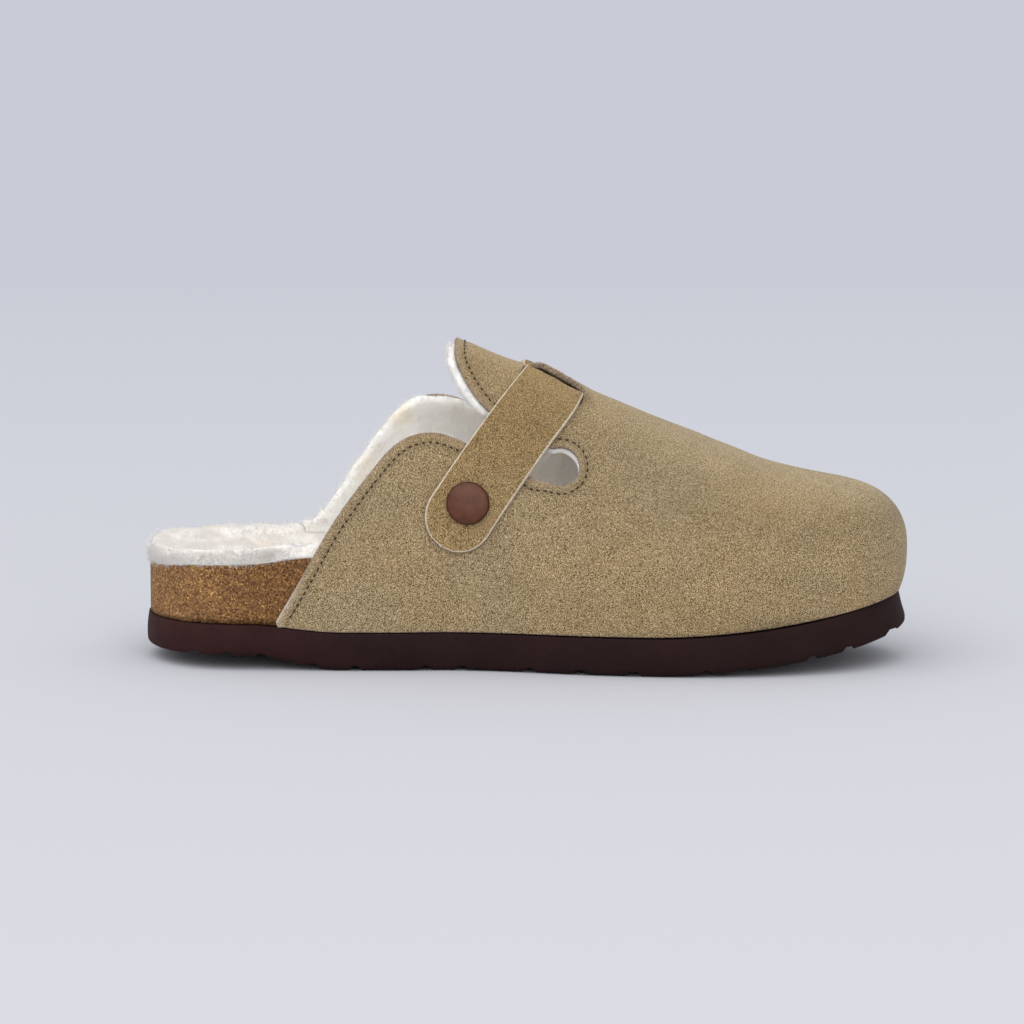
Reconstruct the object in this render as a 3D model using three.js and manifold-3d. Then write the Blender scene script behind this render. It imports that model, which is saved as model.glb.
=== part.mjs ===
// A backless clog slipper for the left foot, standing empty on the floor. A suede upper with a tongue and
// two side notches is closed by one strap, which passes under a bridge of the upper's own leather between
// two slits and is riveted on both sides. The upper sits over a cork footbed on a foam outsole with toe
// spring and wavy tread grooves, and a pile insole covers the footbed.
// Millimetres. X runs from heel to toe, Y to the foot's lateral (outer) side, Z up from the floor.
import * as THREE from "three";
import Module from "manifold-3d";

const wasm = await Module();
wasm.setup();

// Main sizes of the shoe
const soleLength = 264;
const ballWidth = 96;
const heelWidth = 69;
const tongueHeight = 110.7; // top of the tongue above the floor
const quarterHeightMedial = 81.7; // top of the side wings above the floor
const quarterHeightLateral = 87.3;
const toeTipHeight = 40; // level of the foremost point of the toe
const clearance = 0.3; // between pieces that meet

// Outsole
const soleThickness = 13;
const toeSpring = 12.5; // rise of the sole's toe above the floor
const heelLift = 4.6; // rise of the sole's bottom at the back of the heel
const heelTopLift = 2.6; // rise of the sole's top face there
const soleBulge = 0.7; // how far the side swells beyond the top edge
const soleEdgeRound = 2.4; // rounding of the bottom edge
const soleToeLean = 2.9; // how far the toe's top edge stands behind its bottom edge
const soleHeelLean = 0.6;
const toeSwing = 8; // how far the toe end lies towards the big toe

// Tread grooves across the sole
const grooveDepth = 1.8;
const grooveWidth = 4.6;
const waveHeight = 2.4; // of a groove's wave across the sole
const waveCount = 2;
// Where the grooves lie, as shares of the sole's length
const grooveShares = [0.07, 0.114, 0.159, 0.225, 0.281, 0.372, 0.419, 0.505, 0.568, 0.636, 0.729, 0.777, 0.869, 0.919, 0.982];

// Footbed and insole
const footbedHeelInset = 0.6; // from the sole's top edge, at the back of the heel
const insoleThickness = 6;
const insoleEdgeTaper = 0.2; // share of its thickness that it loses at the edge
const insoleEndTaper = 0.03; // share of its length over which it thins towards heel and toe
const heelRimHeight = 36.5; // cork rim round the heel above the floor
const cupPower = 3.2; // how late across the width the cup's sides rise

// Upper
const upperWall = 2;
const upperProud = 0.5; // how far the upper stands beyond the sole's top edge
const upperToeProud = 2.9; // the same at the foremost point
const wingSetback = 3.4; // how far the lateral wing's rear edge lies ahead of the medial one's
const notchRadius = 6.3;
const notchCentre = { along: 0.5445, height: 0.869 }; // height as a share of the side wing's height

// Strap, its slits and rivets
const strapWidth = 23.8;
const strapThickness = 2;
const strapCrossing = 0.544; // where the strap crosses the ridge, as a share of the sole's length
const strapSweep = 31.2; // how far back the rivets lie from that crossing
const strapSweepPower = 1.8;
const strapTail = 17.6; // from the rivet's centre to the strap's tip
const rivetHeight = 58; // rivet centre above the floor
const slitOffset = 9.5; // from the ridge to a slit's upper lip
const slitOpening = upperWall + strapThickness + 1.4; // from the upper lip to the lower lip
const slitSideRoom = 0.6; // beyond each edge of the strap
const dipMargins = { bridge: 1.2, vamp: 1.6 }; // from each lip to the strap's dip under the bridge
const slitLift = 1; // how far the strap's pull flattens the crown at the slits
const bridgeRise = 1.7; // of the bridge over the strap
const bridgeTilt = 0.35; // share by which it stands higher behind and lower in front
const bridgeFade = 6; // over which the bridge falls back to the vamp, fore and aft
const bridgeFlat = strapWidth / 2 - 1; // from its middle to where it begins to fall
const rivetCapRadius = 7.4;
const rivetCapHeight = 2.4;
const rivetShankRadius = 2;
const washerRadius = 4.6;
const washerThickness = 1;
const washerSeat = 0.5; // gap at the washer's centre, where the wall curves away

// Half widths of the sole's top edge, 0 being the heel's and 1 the ball's. Along is the share of the
// length from the heel.
const outlineRows = [
  { along: 0.0, medial: 0.0, lateral: 0.0 },
  { along: 0.12, medial: 0.0, lateral: 0.0 },
  { along: 0.235, medial: 0.07, lateral: 0.18 },
  { along: 0.33, medial: 0.09, lateral: 0.38 },
  { along: 0.405, medial: 0.04, lateral: 0.56 },
  { along: 0.48, medial: 0.25, lateral: 0.76 },
  { along: 0.547, medial: 0.58, lateral: 0.91 },
  { along: 0.615, medial: 0.84, lateral: 1.0 },
  { along: 0.67, medial: 0.97, lateral: 1.0 },
  { along: 0.71, medial: 1.0, lateral: 1.0 },
  { along: 1.0, medial: 1.0, lateral: 1.0 },
];
const toeRounding = {
  medial: { start: 0.67, power: 2.55 },
  lateral: { start: 0.615, power: 2.3 },
};
const heelRounding = { start: 0.13, power: 2.2 };

// The upper's sections. Top and widest are heights as shares of the tongue's height, depth is how far the
// form runs on below the widest level, and lean narrows (or, if negative, fills out) its shoulders.
const sectionRows = [
  { along: 0.12, top: 1.125, widest: 0.26, depth: 0.36, lean: 0.06 },
  { along: 0.27, top: 1.085, widest: 0.265, depth: 0.36, lean: 0.06 },
  { along: 0.409, top: 1.0, widest: 0.285, depth: 0.36, lean: -0.02 },
  { along: 0.466, top: 0.943, widest: 0.295, depth: 0.36, lean: -0.05 },
  { along: 0.52, top: 0.898, widest: 0.3, depth: 0.35, lean: -0.06 },
  { along: 0.598, top: 0.821, widest: 0.31, depth: 0.34, lean: -0.07 },
  { along: 0.677, top: 0.7425, widest: 0.318, depth: 0.32, lean: -0.08 },
  { along: 0.756, top: 0.672, widest: 0.325, depth: 0.29, lean: -0.08 },
  { along: 0.808, top: 0.62, widest: 0.33, depth: 0.26, lean: -0.1 },
  { along: 0.861, top: 0.588, widest: 0.335, depth: 0.235, lean: -0.12 },
  { along: 0.913, top: 0.568, widest: 0.341, depth: 0.22, lean: -0.12 },
  { along: 1.0, top: 0.548, widest: 0.352, depth: 0.217, lean: -0.12 },
];
const toeCapRounding = { start: 0.879, power: 3.4, root: 2.2 };
const lowerTuck = 0.2; // how slowly the form narrows below its widest level

// The rear and top edge of a side wing, from the sole to the notch. Height is a share of its own height.
const quarterEdgeRows = [
  { along: 0.161, height: 0.12 },
  { along: 0.172, height: 0.19 },
  { along: 0.2045, height: 0.372 },
  { along: 0.243, height: 0.592 },
  { along: 0.2695, height: 0.719 },
  { along: 0.2955, height: 0.828 },
  { along: 0.317, height: 0.912 },
  { along: 0.336, height: 0.964 },
  { along: 0.3555, height: 0.992 },
  { along: 0.375, height: 1.0 },
  { along: 0.395, height: 0.991 },
  { along: 0.42, height: 0.96 },
  { along: 0.451, height: 0.911 },
  { along: 0.485, height: 0.857 },
  { along: 0.513, height: 0.811 },
];

// The tongue's side edge, from the notch to beyond its tip. Height is a share of the way from the top of
// the notch (0) to the tip of the tongue (1).
const tongueEdgeRows = [
  { along: 0.52, height: 0.035 },
  { along: 0.485, height: 0.198 },
  { along: 0.449, height: 0.37 },
  { along: 0.432, height: 0.519 },
  { along: 0.419, height: 0.675 },
  { along: 0.411, height: 0.805 },
  { along: 0.408, height: 0.906 },
  { along: 0.409, height: 1.016 },
  { along: 0.412, height: 1.195 },
];

// The footbed's rim and the floor of its cup, as shares of the heel rim's height.
const footbedRows = [
  { along: 0.0, medial: 0.925, lateral: 0.925, floor: 0.925 },
  { along: 0.02, medial: 0.94, lateral: 0.94, floor: 0.86 },
  { along: 0.05, medial: 0.97, lateral: 0.95, floor: 0.74 },
  { along: 0.09, medial: 0.99, lateral: 0.96, floor: 0.65 },
  { along: 0.14, medial: 1.0, lateral: 0.97, floor: 0.62 },
  { along: 0.215, medial: 1.065, lateral: 0.97, floor: 0.62 },
  { along: 0.33, medial: 1.07, lateral: 0.92, floor: 0.66 },
  { along: 0.44, medial: 0.95, lateral: 0.86, floor: 0.64 },
  { along: 0.55, medial: 0.84, lateral: 0.8, floor: 0.6 },
  { along: 0.68, medial: 0.77, lateral: 0.77, floor: 0.58 },
  { along: 0.83, medial: 0.8, lateral: 0.8, floor: 0.63 },
  { along: 0.93, medial: 0.84, lateral: 0.84, floor: 0.7 },
  { along: 0.975, medial: 0.86, lateral: 0.86, floor: 0.79 },
  { along: 1.0, medial: 0.87, lateral: 0.87, floor: 0.87 },
];

// Fineness of the facets
const soleStations = 42;
const footbedStations = 27;
const cupAcross = [-1, -0.93, -0.82, -0.64, -0.34, 0, 0.34, 0.64, 0.82, 0.93, 1];
const sideAngles = [0, 13, 26, 37, 47, 55.5, 63]; // from the widest level to below the slits
const lowerAngles = [-90, -60, -38, -24, -12];
const strapSteps = 50;
const strapAcross = 5;
const seam = 0.05; // overlap of the two sides' cutting tools at the middle

// Small helpers
const radians = (degrees) => (degrees * Math.PI) / 180;
const clamp01 = (value) => Math.min(1, Math.max(0, value));
const smoothStep = (value) => clamp01(value) ** 2 * (3 - 2 * clamp01(value));
const xAt = (share) => (share - 0.5) * soleLength;
const shareAt = (x) => x / soleLength + 0.5;
const point = (x, y, z) => new THREE.Vector3(x, y, z);

// A smooth function of the share along, through one column of a table.
function smoothColumn(rows, column) {
  const x = rows.map((row) => row.along);
  const v = rows.map((row) => row[column]);
  const steps = x.slice(1).map((next, i) => (v[i + 1] - v[i]) / (next - x[i]));
  const slopes = x.map((_, i) => {
    if (i === 0) return steps[0];
    if (i === x.length - 1) return steps[i - 1];
    return (steps[i - 1] + steps[i]) / 2;
  });
  return (share) => {
    const last = x.length - 1;
    if (share <= x[0]) return v[0] + slopes[0] * (share - x[0]);
    if (share >= x[last]) return v[last] + slopes[last] * (share - x[last]);
    let i = 0;
    while (share > x[i + 1]) i += 1;
    const h = x[i + 1] - x[i];
    const t = (share - x[i]) / h;
    const rise = (v[i + 1] - v[i]) * (3 - 2 * t) * t * t;
    return v[i] + rise + h * t * (1 - t) * (slopes[i] * (1 - t) - slopes[i + 1] * t);
  };
}

// Falls from 1 at t = 0 to 0 at t = 1, as the rounding of a toe or heel does.
const roundOff = (t, power, root = 2) => (t <= 0 ? 1 : Math.max(0, 1 - clamp01(t) ** power) ** (1 / root));

// A closed solid from vertices and triangles. Vertices that coincide are joined.
function solidFrom(vertices, triangles) {
  const seen = new Map();
  const coordinates = [];
  const joined = vertices.map((v) => {
    const key = v.toArray().map((c) => Math.round(c * 1e4)).join(",");
    if (!seen.has(key)) {
      seen.set(key, coordinates.length / 3);
      coordinates.push(...v.toArray());
    }
    return seen.get(key);
  });
  const kept = triangles
    .map((corners) => corners.map((i) => joined[i]))
    .filter(([a, b, c]) => a !== b && b !== c && c !== a);
  const mesh = new wasm.Mesh({
    numProp: 3,
    vertProperties: new Float32Array(coordinates),
    triVerts: new Uint32Array(kept.flat()),
  });
  const solid = new wasm.Manifold(mesh);
  if (solid.volume() >= 0) return solid;
  return solidFrom(vertices, triangles.map(([a, b, c]) => [a, c, b]));
}

// A solid through closed rings of equally many points, with flat ends that fan out from their first point.
function loft(rings) {
  const count = rings[0].length;
  const triangles = [];
  for (let i = 0; i + 1 < rings.length; i += 1) {
    for (let j = 0; j < count; j += 1) {
      const k = (j + 1) % count;
      const [a, b] = [i * count + j, i * count + k];
      triangles.push([a, b, b + count], [a, b + count, a + count]);
    }
  }
  const end = (rings.length - 1) * count;
  for (let j = 1; j + 1 < count; j += 1) {
    triangles.push([0, j + 1, j], [end, end + j, end + j + 1]);
  }
  return solidFrom(rings.flat(), triangles);
}

// A solid from any closed three.js geometry.
function solidFromGeometry(geometry) {
  const flat = geometry.index ? geometry.toNonIndexed() : geometry;
  const position = flat.getAttribute("position");
  const vertices = [];
  const triangles = [];
  for (let i = 0; i < position.count; i += 1) {
    vertices.push(new THREE.Vector3().fromBufferAttribute(position, i));
    if (i % 3 === 2) triangles.push([i - 2, i - 1, i]);
  }
  return solidFrom(vertices, triangles);
}

function boxSolid(low, high) {
  const geometry = new THREE.BoxGeometry(high.x - low.x, high.y - low.y, high.z - low.z);
  geometry.translate((low.x + high.x) / 2, (low.y + high.y) / 2, (low.z + high.z) / 2);
  return solidFromGeometry(geometry);
}

// Shares of the length for a loft's rings, closer together at both round ends.
function stationShares(count) {
  return Array.from({ length: count + 1 }, (_, i) => {
    const even = i / count;
    return even * 0.35 + ((1 - Math.cos(Math.PI * even)) / 2) * 0.65;
  });
}

// Plan outline: the half width on one side and the centre line, at a share of the outline's own length.
const widthShare = {
  medial: smoothColumn(outlineRows, "medial"),
  lateral: smoothColumn(outlineRows, "lateral"),
};

// Share is that of the outline's own length, for its rounded ends, and along is that of the sole's.
function halfWidth(side, share, along, inset) {
  const full = (heelWidth + (ballWidth - heelWidth) * widthShare[side](along)) / 2 - inset;
  const toe = toeRounding[side];
  const toeEnd = roundOff((share - toe.start) / (1 - toe.start), toe.power);
  const heelEnd = roundOff((heelRounding.start - share) / heelRounding.start, heelRounding.power);
  return full * toeEnd * heelEnd;
}

function centreLine(along) {
  const { start } = toeRounding.lateral;
  return -toeSwing * clamp01((along - start) / (1 - start)) ** 2;
}

// A level of a piece: an outline with its own ends and inset, read at a share of its length.
function levelAt(share, { heel, toe, inset }) {
  const x = heel + (toe - heel) * share;
  const along = shareAt(x);
  const middle = centreLine(along);
  return {
    x,
    middle,
    medial: middle - halfWidth("medial", share, along, inset),
    lateral: middle + halfWidth("lateral", share, along, inset),
  };
}

// Side profiles of the sole
const springStart = 0.655; // where the toe begins to rise
const springPower = 1.9;
const liftStart = 0.26; // where the heel begins to rise
const liftRun = 0.125;

function soleRise(share, heelRise) {
  const toe = clamp01((share - springStart) / (1 - springStart)) ** springPower;
  return toeSpring * toe + heelRise * smoothStep((liftStart - share) / liftRun);
}

const soleBottom = (share) => soleRise(share, heelLift);
const soleTop = (share) => soleThickness + soleRise(share, heelTopLift);

const soleTopEnds = { heel: xAt(0) + soleHeelLean, toe: xAt(1) - soleToeLean };

// One wavy groove across the sole, as a tool to cut with: a five-sided channel along a wave.
function grooveTool(share) {
  const reach = ballWidth / 2 + 6;
  const steps = 8;
  const floorHeight = Math.max(soleBottom(share), 0);
  const rings = [];
  for (let i = 0; i <= steps; i += 1) {
    const y = -reach + (2 * reach * i) / steps;
    const x = xAt(share) + (waveHeight / 2) * Math.cos((Math.PI * waveCount * y) / reach);
    const section = [
      [-grooveWidth / 2, -8],
      [-grooveWidth / 2, 0],
      [-grooveWidth / 4, grooveDepth],
      [grooveWidth / 4, grooveDepth],
      [grooveWidth / 2, 0],
      [grooveWidth / 2, -8],
    ];
    rings.push(section.map(([dx, dz]) => point(x + dx, y, floorHeight + dz)));
  }
  return loft(rings);
}

function makeOutsole() {
  const bottomEnds = { heel: xAt(0), toe: xAt(1) - 0.4 };
  const levels = [
    { ...soleTopEnds, inset: 0, height: 1 },
    { heel: bottomEnds.heel, toe: (soleTopEnds.toe + bottomEnds.toe) / 2, inset: -soleBulge, height: 0.55 },
    { heel: bottomEnds.heel, toe: bottomEnds.toe, inset: -soleBulge / 2, height: soleEdgeRound / soleThickness },
    {
      heel: bottomEnds.heel + soleEdgeRound * 0.3,
      toe: bottomEnds.toe - soleEdgeRound * 0.3,
      inset: soleEdgeRound * 0.3,
      height: (soleEdgeRound * 0.3) / soleThickness,
    },
    { heel: bottomEnds.heel + soleEdgeRound, toe: bottomEnds.toe - soleEdgeRound, inset: soleEdgeRound, height: 0 },
  ];
  const rings = stationShares(soleStations).map((share) => {
    const edge = (side) =>
      levels.map((level) => {
        const at = levelAt(share, level);
        const onBottom = soleBottom(shareAt(at.x));
        const z = onBottom + (soleTop(shareAt(at.x)) - onBottom) * level.height;
        return point(at.x, at[side], z);
      });
    return [...edge("medial"), ...edge("lateral").reverse()];
  });
  return grooveShares.reduce((solid, share) => solid.subtract(grooveTool(share)), loft(rings));
}

// The heights of the last's sections, as shares of the tongue's height
const sectionTop = smoothColumn(sectionRows, "top");
const sectionWidest = smoothColumn(sectionRows, "widest");
const sectionDepth = smoothColumn(sectionRows, "depth");
const sectionLean = smoothColumn(sectionRows, "lean");

// The share of its half width that a section has at a height of this sine above or below its widest level
function across(sine, isAbove, lean) {
  const cosine = Math.sqrt(Math.max(0, 1 - sine ** 2));
  return isAbove ? cosine * (1 - lean * sine ** 2) : cosine ** lowerTuck;
}

// How far the inside of the upper's toe reaches forward at a level below the toe's tip
const lastEnds = { heel: xAt(0), toe: soleTopEnds.toe + upperToeProud, inset: -upperProud };

function insideToeAt(z) {
  const inside = (share) => lastPoint(share, -90).addScaledVector(lastNormal(share, -90), -upperWall);
  let [low, high] = [toeCapRounding.start, 1];
  for (let i = 0; i < 30; i += 1) {
    const middle = (low + high) / 2;
    if (inside(middle).z < z) low = middle;
    else high = middle;
  }
  return inside(low).x;
}

// The footbed ends where the inside of the toe comes down to the rising sole.
let footbedToe = soleTopEnds.toe;
for (let i = 0; i < 8; i += 1) {
  footbedToe = insideToeAt(soleTop(shareAt(footbedToe)) + clearance) - 2 * clearance;
}

// Footbed: its edge follows the inside of the upper, which narrows below its widest level.
const footbedEnds = { heel: soleTopEnds.heel + footbedHeelInset, toe: footbedToe, inset: 0 };
const insideInset = upperWall + 2 * clearance - upperProud;

function footbedEdge(share, z) {
  const s = sectionAt(shareOfLast(levelAt(share, footbedEnds).x));
  const above = z - s.widest;
  const sine = Math.min(0.99, Math.abs(above) / (above > 0 ? s.rise : s.drop));
  const reach = across(sine, above > 0, s.lean);
  return levelAt(share, { ...footbedEnds, inset: insideInset + ((1 - reach) * ballWidth) / 2 });
}

const rimShare = { medial: smoothColumn(footbedRows, "medial"), lateral: smoothColumn(footbedRows, "lateral") };
const cupFloorShare = smoothColumn(footbedRows, "floor");

// A point of the footbed's cupped top face, or of a layer at a rise above it. Side runs from -1 at the
// medial edge to 1 at the lateral edge, and edgeRise is the layer's rise there.
function cupPoint(share, side, rise = 0, edgeRise = 0) {
  const rim = side < 0 ? rimShare.medial(share) : rimShare.lateral(share);
  const at = footbedEdge(share, rim * heelRimHeight + edgeRise);
  const middle = (at.medial + at.lateral) / 2;
  const floor = cupFloorShare(share);
  const height = heelRimHeight * (floor + (rim - floor) * Math.abs(side) ** cupPower);
  return point(at.x, middle + (side * (at.lateral - at.medial)) / 2, height + rise);
}

function makeFootbed() {
  const rings = stationShares(footbedStations).map((share) => {
    const bottom = soleTop(shareAt(levelAt(share, footbedEnds).x)) + clearance;
    const at = footbedEdge(share, bottom);
    const top = cupAcross.map((side) => cupPoint(share, side));
    return [point(at.x, at.medial, bottom), ...top, point(at.x, at.lateral, bottom)];
  });
  return loft(rings);
}

function makeInsole() {
  const rings = stationShares(footbedStations).map((share) => {
    const under = cupAcross.map((side) => cupPoint(share, side, clearance, 0));
    const toEnd = clamp01(1 - Math.min(share, 1 - share) / insoleEndTaper);
    const top = (side) => {
      const edge = Math.max(Math.abs(side) ** 12, toEnd ** 2);
      return clearance + insoleThickness * (1 - insoleEdgeTaper * edge);
    };
    const over = cupAcross.map((side) => cupPoint(share, side, top(side), top(1)));
    return [...under, ...over.reverse()];
  });
  return loft(rings);
}

// The last: the upper's outer form. Share runs from heel to toe, and angle round the section from the
// medial widest level (0) over the ridge (90) to the lateral one (180), with negative angles and those
// over 180 below the widest level.
function sectionAt(share) {
  const capT = (share - toeCapRounding.start) / (1 - toeCapRounding.start);
  const close = roundOff(capT, toeCapRounding.power, toeCapRounding.root);
  const tip = (value) => toeTipHeight + (value - toeTipHeight) * close;
  const widest = tip(sectionWidest(share) * tongueHeight);
  return {
    ...levelAt(share, lastEnds),
    widest,
    rise: tip(sectionTop(share) * tongueHeight) - widest,
    drop: sectionDepth(share) * tongueHeight * close,
    lean: sectionLean(share),
  };
}

const shareOfLast = (x) => (x - lastEnds.heel) / (lastEnds.toe - lastEnds.heel);

function lastPoint(share, angle) {
  const s = sectionAt(share);
  const sine = Math.sin(radians(angle));
  const cosine = Math.cos(radians(angle));
  const edge = cosine > 0 ? s.medial : s.lateral;
  const reach = across(Math.abs(sine), sine >= 0, s.lean);
  const height = s.widest + sine * (sine >= 0 ? s.rise : s.drop);
  return point(s.x, s.middle + (edge - s.middle) * reach, height);
}

function lastNormal(share, angle) {
  if (share > 0.9995) return point(1, 0, 0);
  const [ds, da] = [0.0004, 0.05];
  const alongTangent = lastPoint(share + ds, angle).sub(lastPoint(share - ds, angle));
  const aroundTangent = lastPoint(share, angle + da).sub(lastPoint(share, angle - da));
  return alongTangent.cross(aroundTangent).normalize();
}

// The angle on the section at this share where a point at y and z looks out from the section's middle.
function angleToward(share, y, z) {
  const s = sectionAt(share);
  const bearing = (p) => {
    const turn = Math.atan2(p.z - s.widest, s.middle - p.y);
    return turn < -Math.PI / 2 ? turn + 2 * Math.PI : turn;
  };
  const target = bearing({ y, z });
  let [low, high] = [-80, 260];
  for (let i = 0; i < 40; i += 1) {
    const middle = (low + high) / 2;
    if (bearing(lastPoint(share, middle)) < target) low = middle;
    else high = middle;
  }
  return (low + high) / 2;
}

// Strap: its centre line on the last, and the lift near the slits
const strapCrossingX = xAt(strapCrossing);

function heightAngle(share, height) {
  const s = sectionAt(share);
  return (Math.asin(clamp01((height - s.widest) / s.rise)) * 180) / Math.PI;
}

const rivetAngle = heightAngle(shareOfLast(strapCrossingX - strapSweep), rivetHeight);

function strapCentre(angle) {
  const away = Math.abs(90 - angle) / (90 - rivetAngle);
  const x = strapCrossingX - strapSweep * away ** strapSweepPower;
  return { share: shareOfLast(x), angle };
}

// Extra rise near the ridge: the strap's pull flattens the crown between the slits.
function crownLift(offRidge) {
  const off = Math.abs(offRidge);
  if (off <= slitOffset) return slitLift * (off / slitOffset) ** 2;
  return slitLift * (1 - smoothStep((off - slitOffset) / slitOpening));
}

// The rise of the upper's bridge over the strap, at a point of the last. It dies out across the slits.
function bridgeLift(x, offRidge) {
  const forward = x - strapCrossingX;
  const plateau = 1 - smoothStep((Math.abs(forward) - bridgeFlat) / bridgeFade);
  const sideways = 1 - smoothStep((Math.abs(offRidge) - slitOffset) / slitOpening);
  const tilt = 1 - (bridgeTilt * forward) / bridgeFlat;
  return plateau * sideways * tilt * bridgeRise;
}

// The rise of a strap layer that lies this far off the last outside the slits. Between the slits the strap
// dips under the bridge.
function strapRise(x, offRidge, rise) {
  const dipRun = slitOpening - dipMargins.bridge - dipMargins.vamp;
  const inside = 1 - smoothStep((Math.abs(offRidge) - slitOffset - dipMargins.bridge) / dipRun);
  const dip = upperWall + strapThickness + 3 * clearance;
  return rise + crownLift(offRidge) + bridgeLift(x, offRidge) - inside * dip;
}

// A point of the strap: angle along the centre line, across the width in millimetres, rise off the last.
function strapPoint(angle, across, rise) {
  const on = (a) => {
    const c = strapCentre(a);
    return lastPoint(c.share, c.angle);
  };
  const centre = strapCentre(angle);
  const tangent = on(angle + 0.5).sub(on(angle - 0.5)).normalize();
  const normal = lastNormal(centre.share, centre.angle);
  const sideways = new THREE.Vector3().crossVectors(tangent, normal).normalize();
  const flat = on(angle).addScaledVector(sideways, across);
  const share = shareOfLast(flat.x);
  const around = angleToward(share, flat.y, flat.z);
  const foot = lastPoint(share, around);
  return foot.addScaledVector(lastNormal(share, around), strapRise(foot.x, foot.y - centreLine(shareAt(foot.x)), rise));
}

// The centre line's angles at even steps from one tip to the other, found by walking along it.
function strapStations() {
  const centreAt = (angle) => strapPoint(angle, 0, 0);
  const walk = (from, step, distance) => {
    let [angle, gone] = [from, 0];
    while (gone < distance) {
      gone += centreAt(angle + step).distanceTo(centreAt(angle));
      angle += step;
    }
    return angle;
  };
  const fine = 0.1;
  const start = walk(rivetAngle, -fine, strapTail);
  const end = 180 - start;
  const lengths = [0];
  const angles = [start];
  for (let angle = start; angle < end; angle += fine) {
    const step = centreAt(angle + fine).distanceTo(centreAt(angle));
    lengths.push(lengths.at(-1) + step);
    angles.push(angle + fine);
  }
  const total = lengths.at(-1);
  const radius = strapWidth / 2;
  return Array.from({ length: strapSteps + 1 }, (_, i) => {
    const even = i / strapSteps;
    const eased = even * 0.8 + ((1 - Math.cos(Math.PI * even)) / 2) * 0.2;
    const gone = eased * total;
    const index = lengths.findIndex((length) => length >= gone - 1e-9);
    const toEnd = Math.min(gone, total - gone);
    const shareOfWidth = toEnd >= radius ? 1 : Math.sqrt(Math.max(0, 1 - (1 - toEnd / radius) ** 2));
    return { angle: angles[index], shareOfWidth };
  });
}

const strapLine = strapStations();

// A ribbon along the strap's centre line between two rises, wider than the strap by extra on each side.
function strapRibbon(lowRise, highRise, extra) {
  const rings = strapLine.map(({ angle, shareOfWidth }) => {
    const half = (strapWidth / 2) * shareOfWidth + extra;
    const acrosses = Array.from({ length: strapAcross + 1 }, (_, j) => half * ((2 * j) / strapAcross - 1));
    const low = acrosses.map((across) => strapPoint(angle, across, lowRise));
    const high = acrosses.map((across) => strapPoint(angle, across, highRise));
    return [...low, ...high.reverse()];
  });
  return loft(rings);
}

// The rivet's seat: a frame on the last with Z along the outward normal.
function rivetFrame(side) {
  const angle = side === "medial" ? rivetAngle : 180 - rivetAngle;
  const centre = strapCentre(angle);
  const normal = lastNormal(centre.share, centre.angle);
  const turn = new THREE.Quaternion().setFromUnitVectors(point(0, 0, 1), normal);
  return { seat: lastPoint(centre.share, centre.angle), turn };
}

function rivetHole(side) {
  const { seat, turn } = rivetFrame(side);
  const reach = 10;
  const geometry = new THREE.CylinderGeometry(rivetShankRadius + clearance, rivetShankRadius + clearance, 2 * reach, 16);
  geometry.rotateX(Math.PI / 2);
  geometry.applyQuaternion(turn);
  geometry.translate(seat.x, seat.y, seat.z);
  return solidFromGeometry(geometry);
}

function makeRivet() {
  const capBase = clearance + strapThickness + 1.6 * clearance;
  const washerTop = -upperWall - washerSeat;
  const profile = [
    [0, washerTop - washerThickness],
    [washerRadius, washerTop - washerThickness],
    [washerRadius, washerTop],
    [rivetShankRadius, washerTop],
    [rivetShankRadius, capBase],
    [rivetCapRadius, capBase],
    [rivetCapRadius, capBase + rivetCapHeight * 0.35],
    [rivetCapRadius * 0.9, capBase + rivetCapHeight * 0.72],
    [rivetCapRadius * 0.55, capBase + rivetCapHeight * 0.95],
    [0, capBase + rivetCapHeight],
  ].map(([r, z]) => new THREE.Vector2(r, z));
  const geometry = new THREE.LatheGeometry(profile, 20);
  geometry.rotateX(Math.PI / 2);
  return solidFromGeometry(geometry);
}

function makeStrap() {
  const ribbon = strapRibbon(clearance, clearance + strapThickness, 0);
  return ribbon.subtract(rivetHole("medial")).subtract(rivetHole("lateral"));
}

// Upper: the rise of its crown at the bridge and slits
function crownRise(x, offRidge) {
  const near = 1 - smoothStep((Math.abs(x - strapCrossingX) - bridgeFlat) / bridgeFade);
  return bridgeLift(x, offRidge) + near * crownLift(offRidge);
}

// Shares where the upper's rings stand: even at the wings, close at the bridge, closer towards the toe.
function lastShares(start) {
  const [bridgeStart, bridgeEnd, toeStart] = [0.465, 0.62, 0.73];
  const spread = (from, to, count) => Array.from({ length: count }, (_, i) => from + ((to - from) * i) / count);
  const toe = Array.from({ length: 14 }, (_, i) => toeStart + (1 - toeStart) * Math.sin((Math.PI / 2) * (i / 13)));
  return [...spread(start, bridgeStart, 9), ...spread(bridgeStart, bridgeEnd, 14), ...spread(bridgeEnd, toeStart, 4), ...toe];
}

// The angles of a ring's points on one side, from the widest level up, with points on both lips of the slit
// where the ring is wide enough.
function anglesUp(share, side) {
  const s = sectionAt(share);
  const width = Math.abs(s[side] - s.middle);
  const lip = (off, most) => {
    const reach = Math.min(off / width, most);
    return (Math.acos(reach / (1 - s.lean * (1 - reach ** 2))) * 180) / Math.PI;
  };
  const [outer, inner] = [lip(slitOffset + slitOpening, 0.4), lip(slitOffset, 0.27)];
  return [...lowerAngles, ...sideAngles, outer, inner, (inner + 90) / 2];
}

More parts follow.
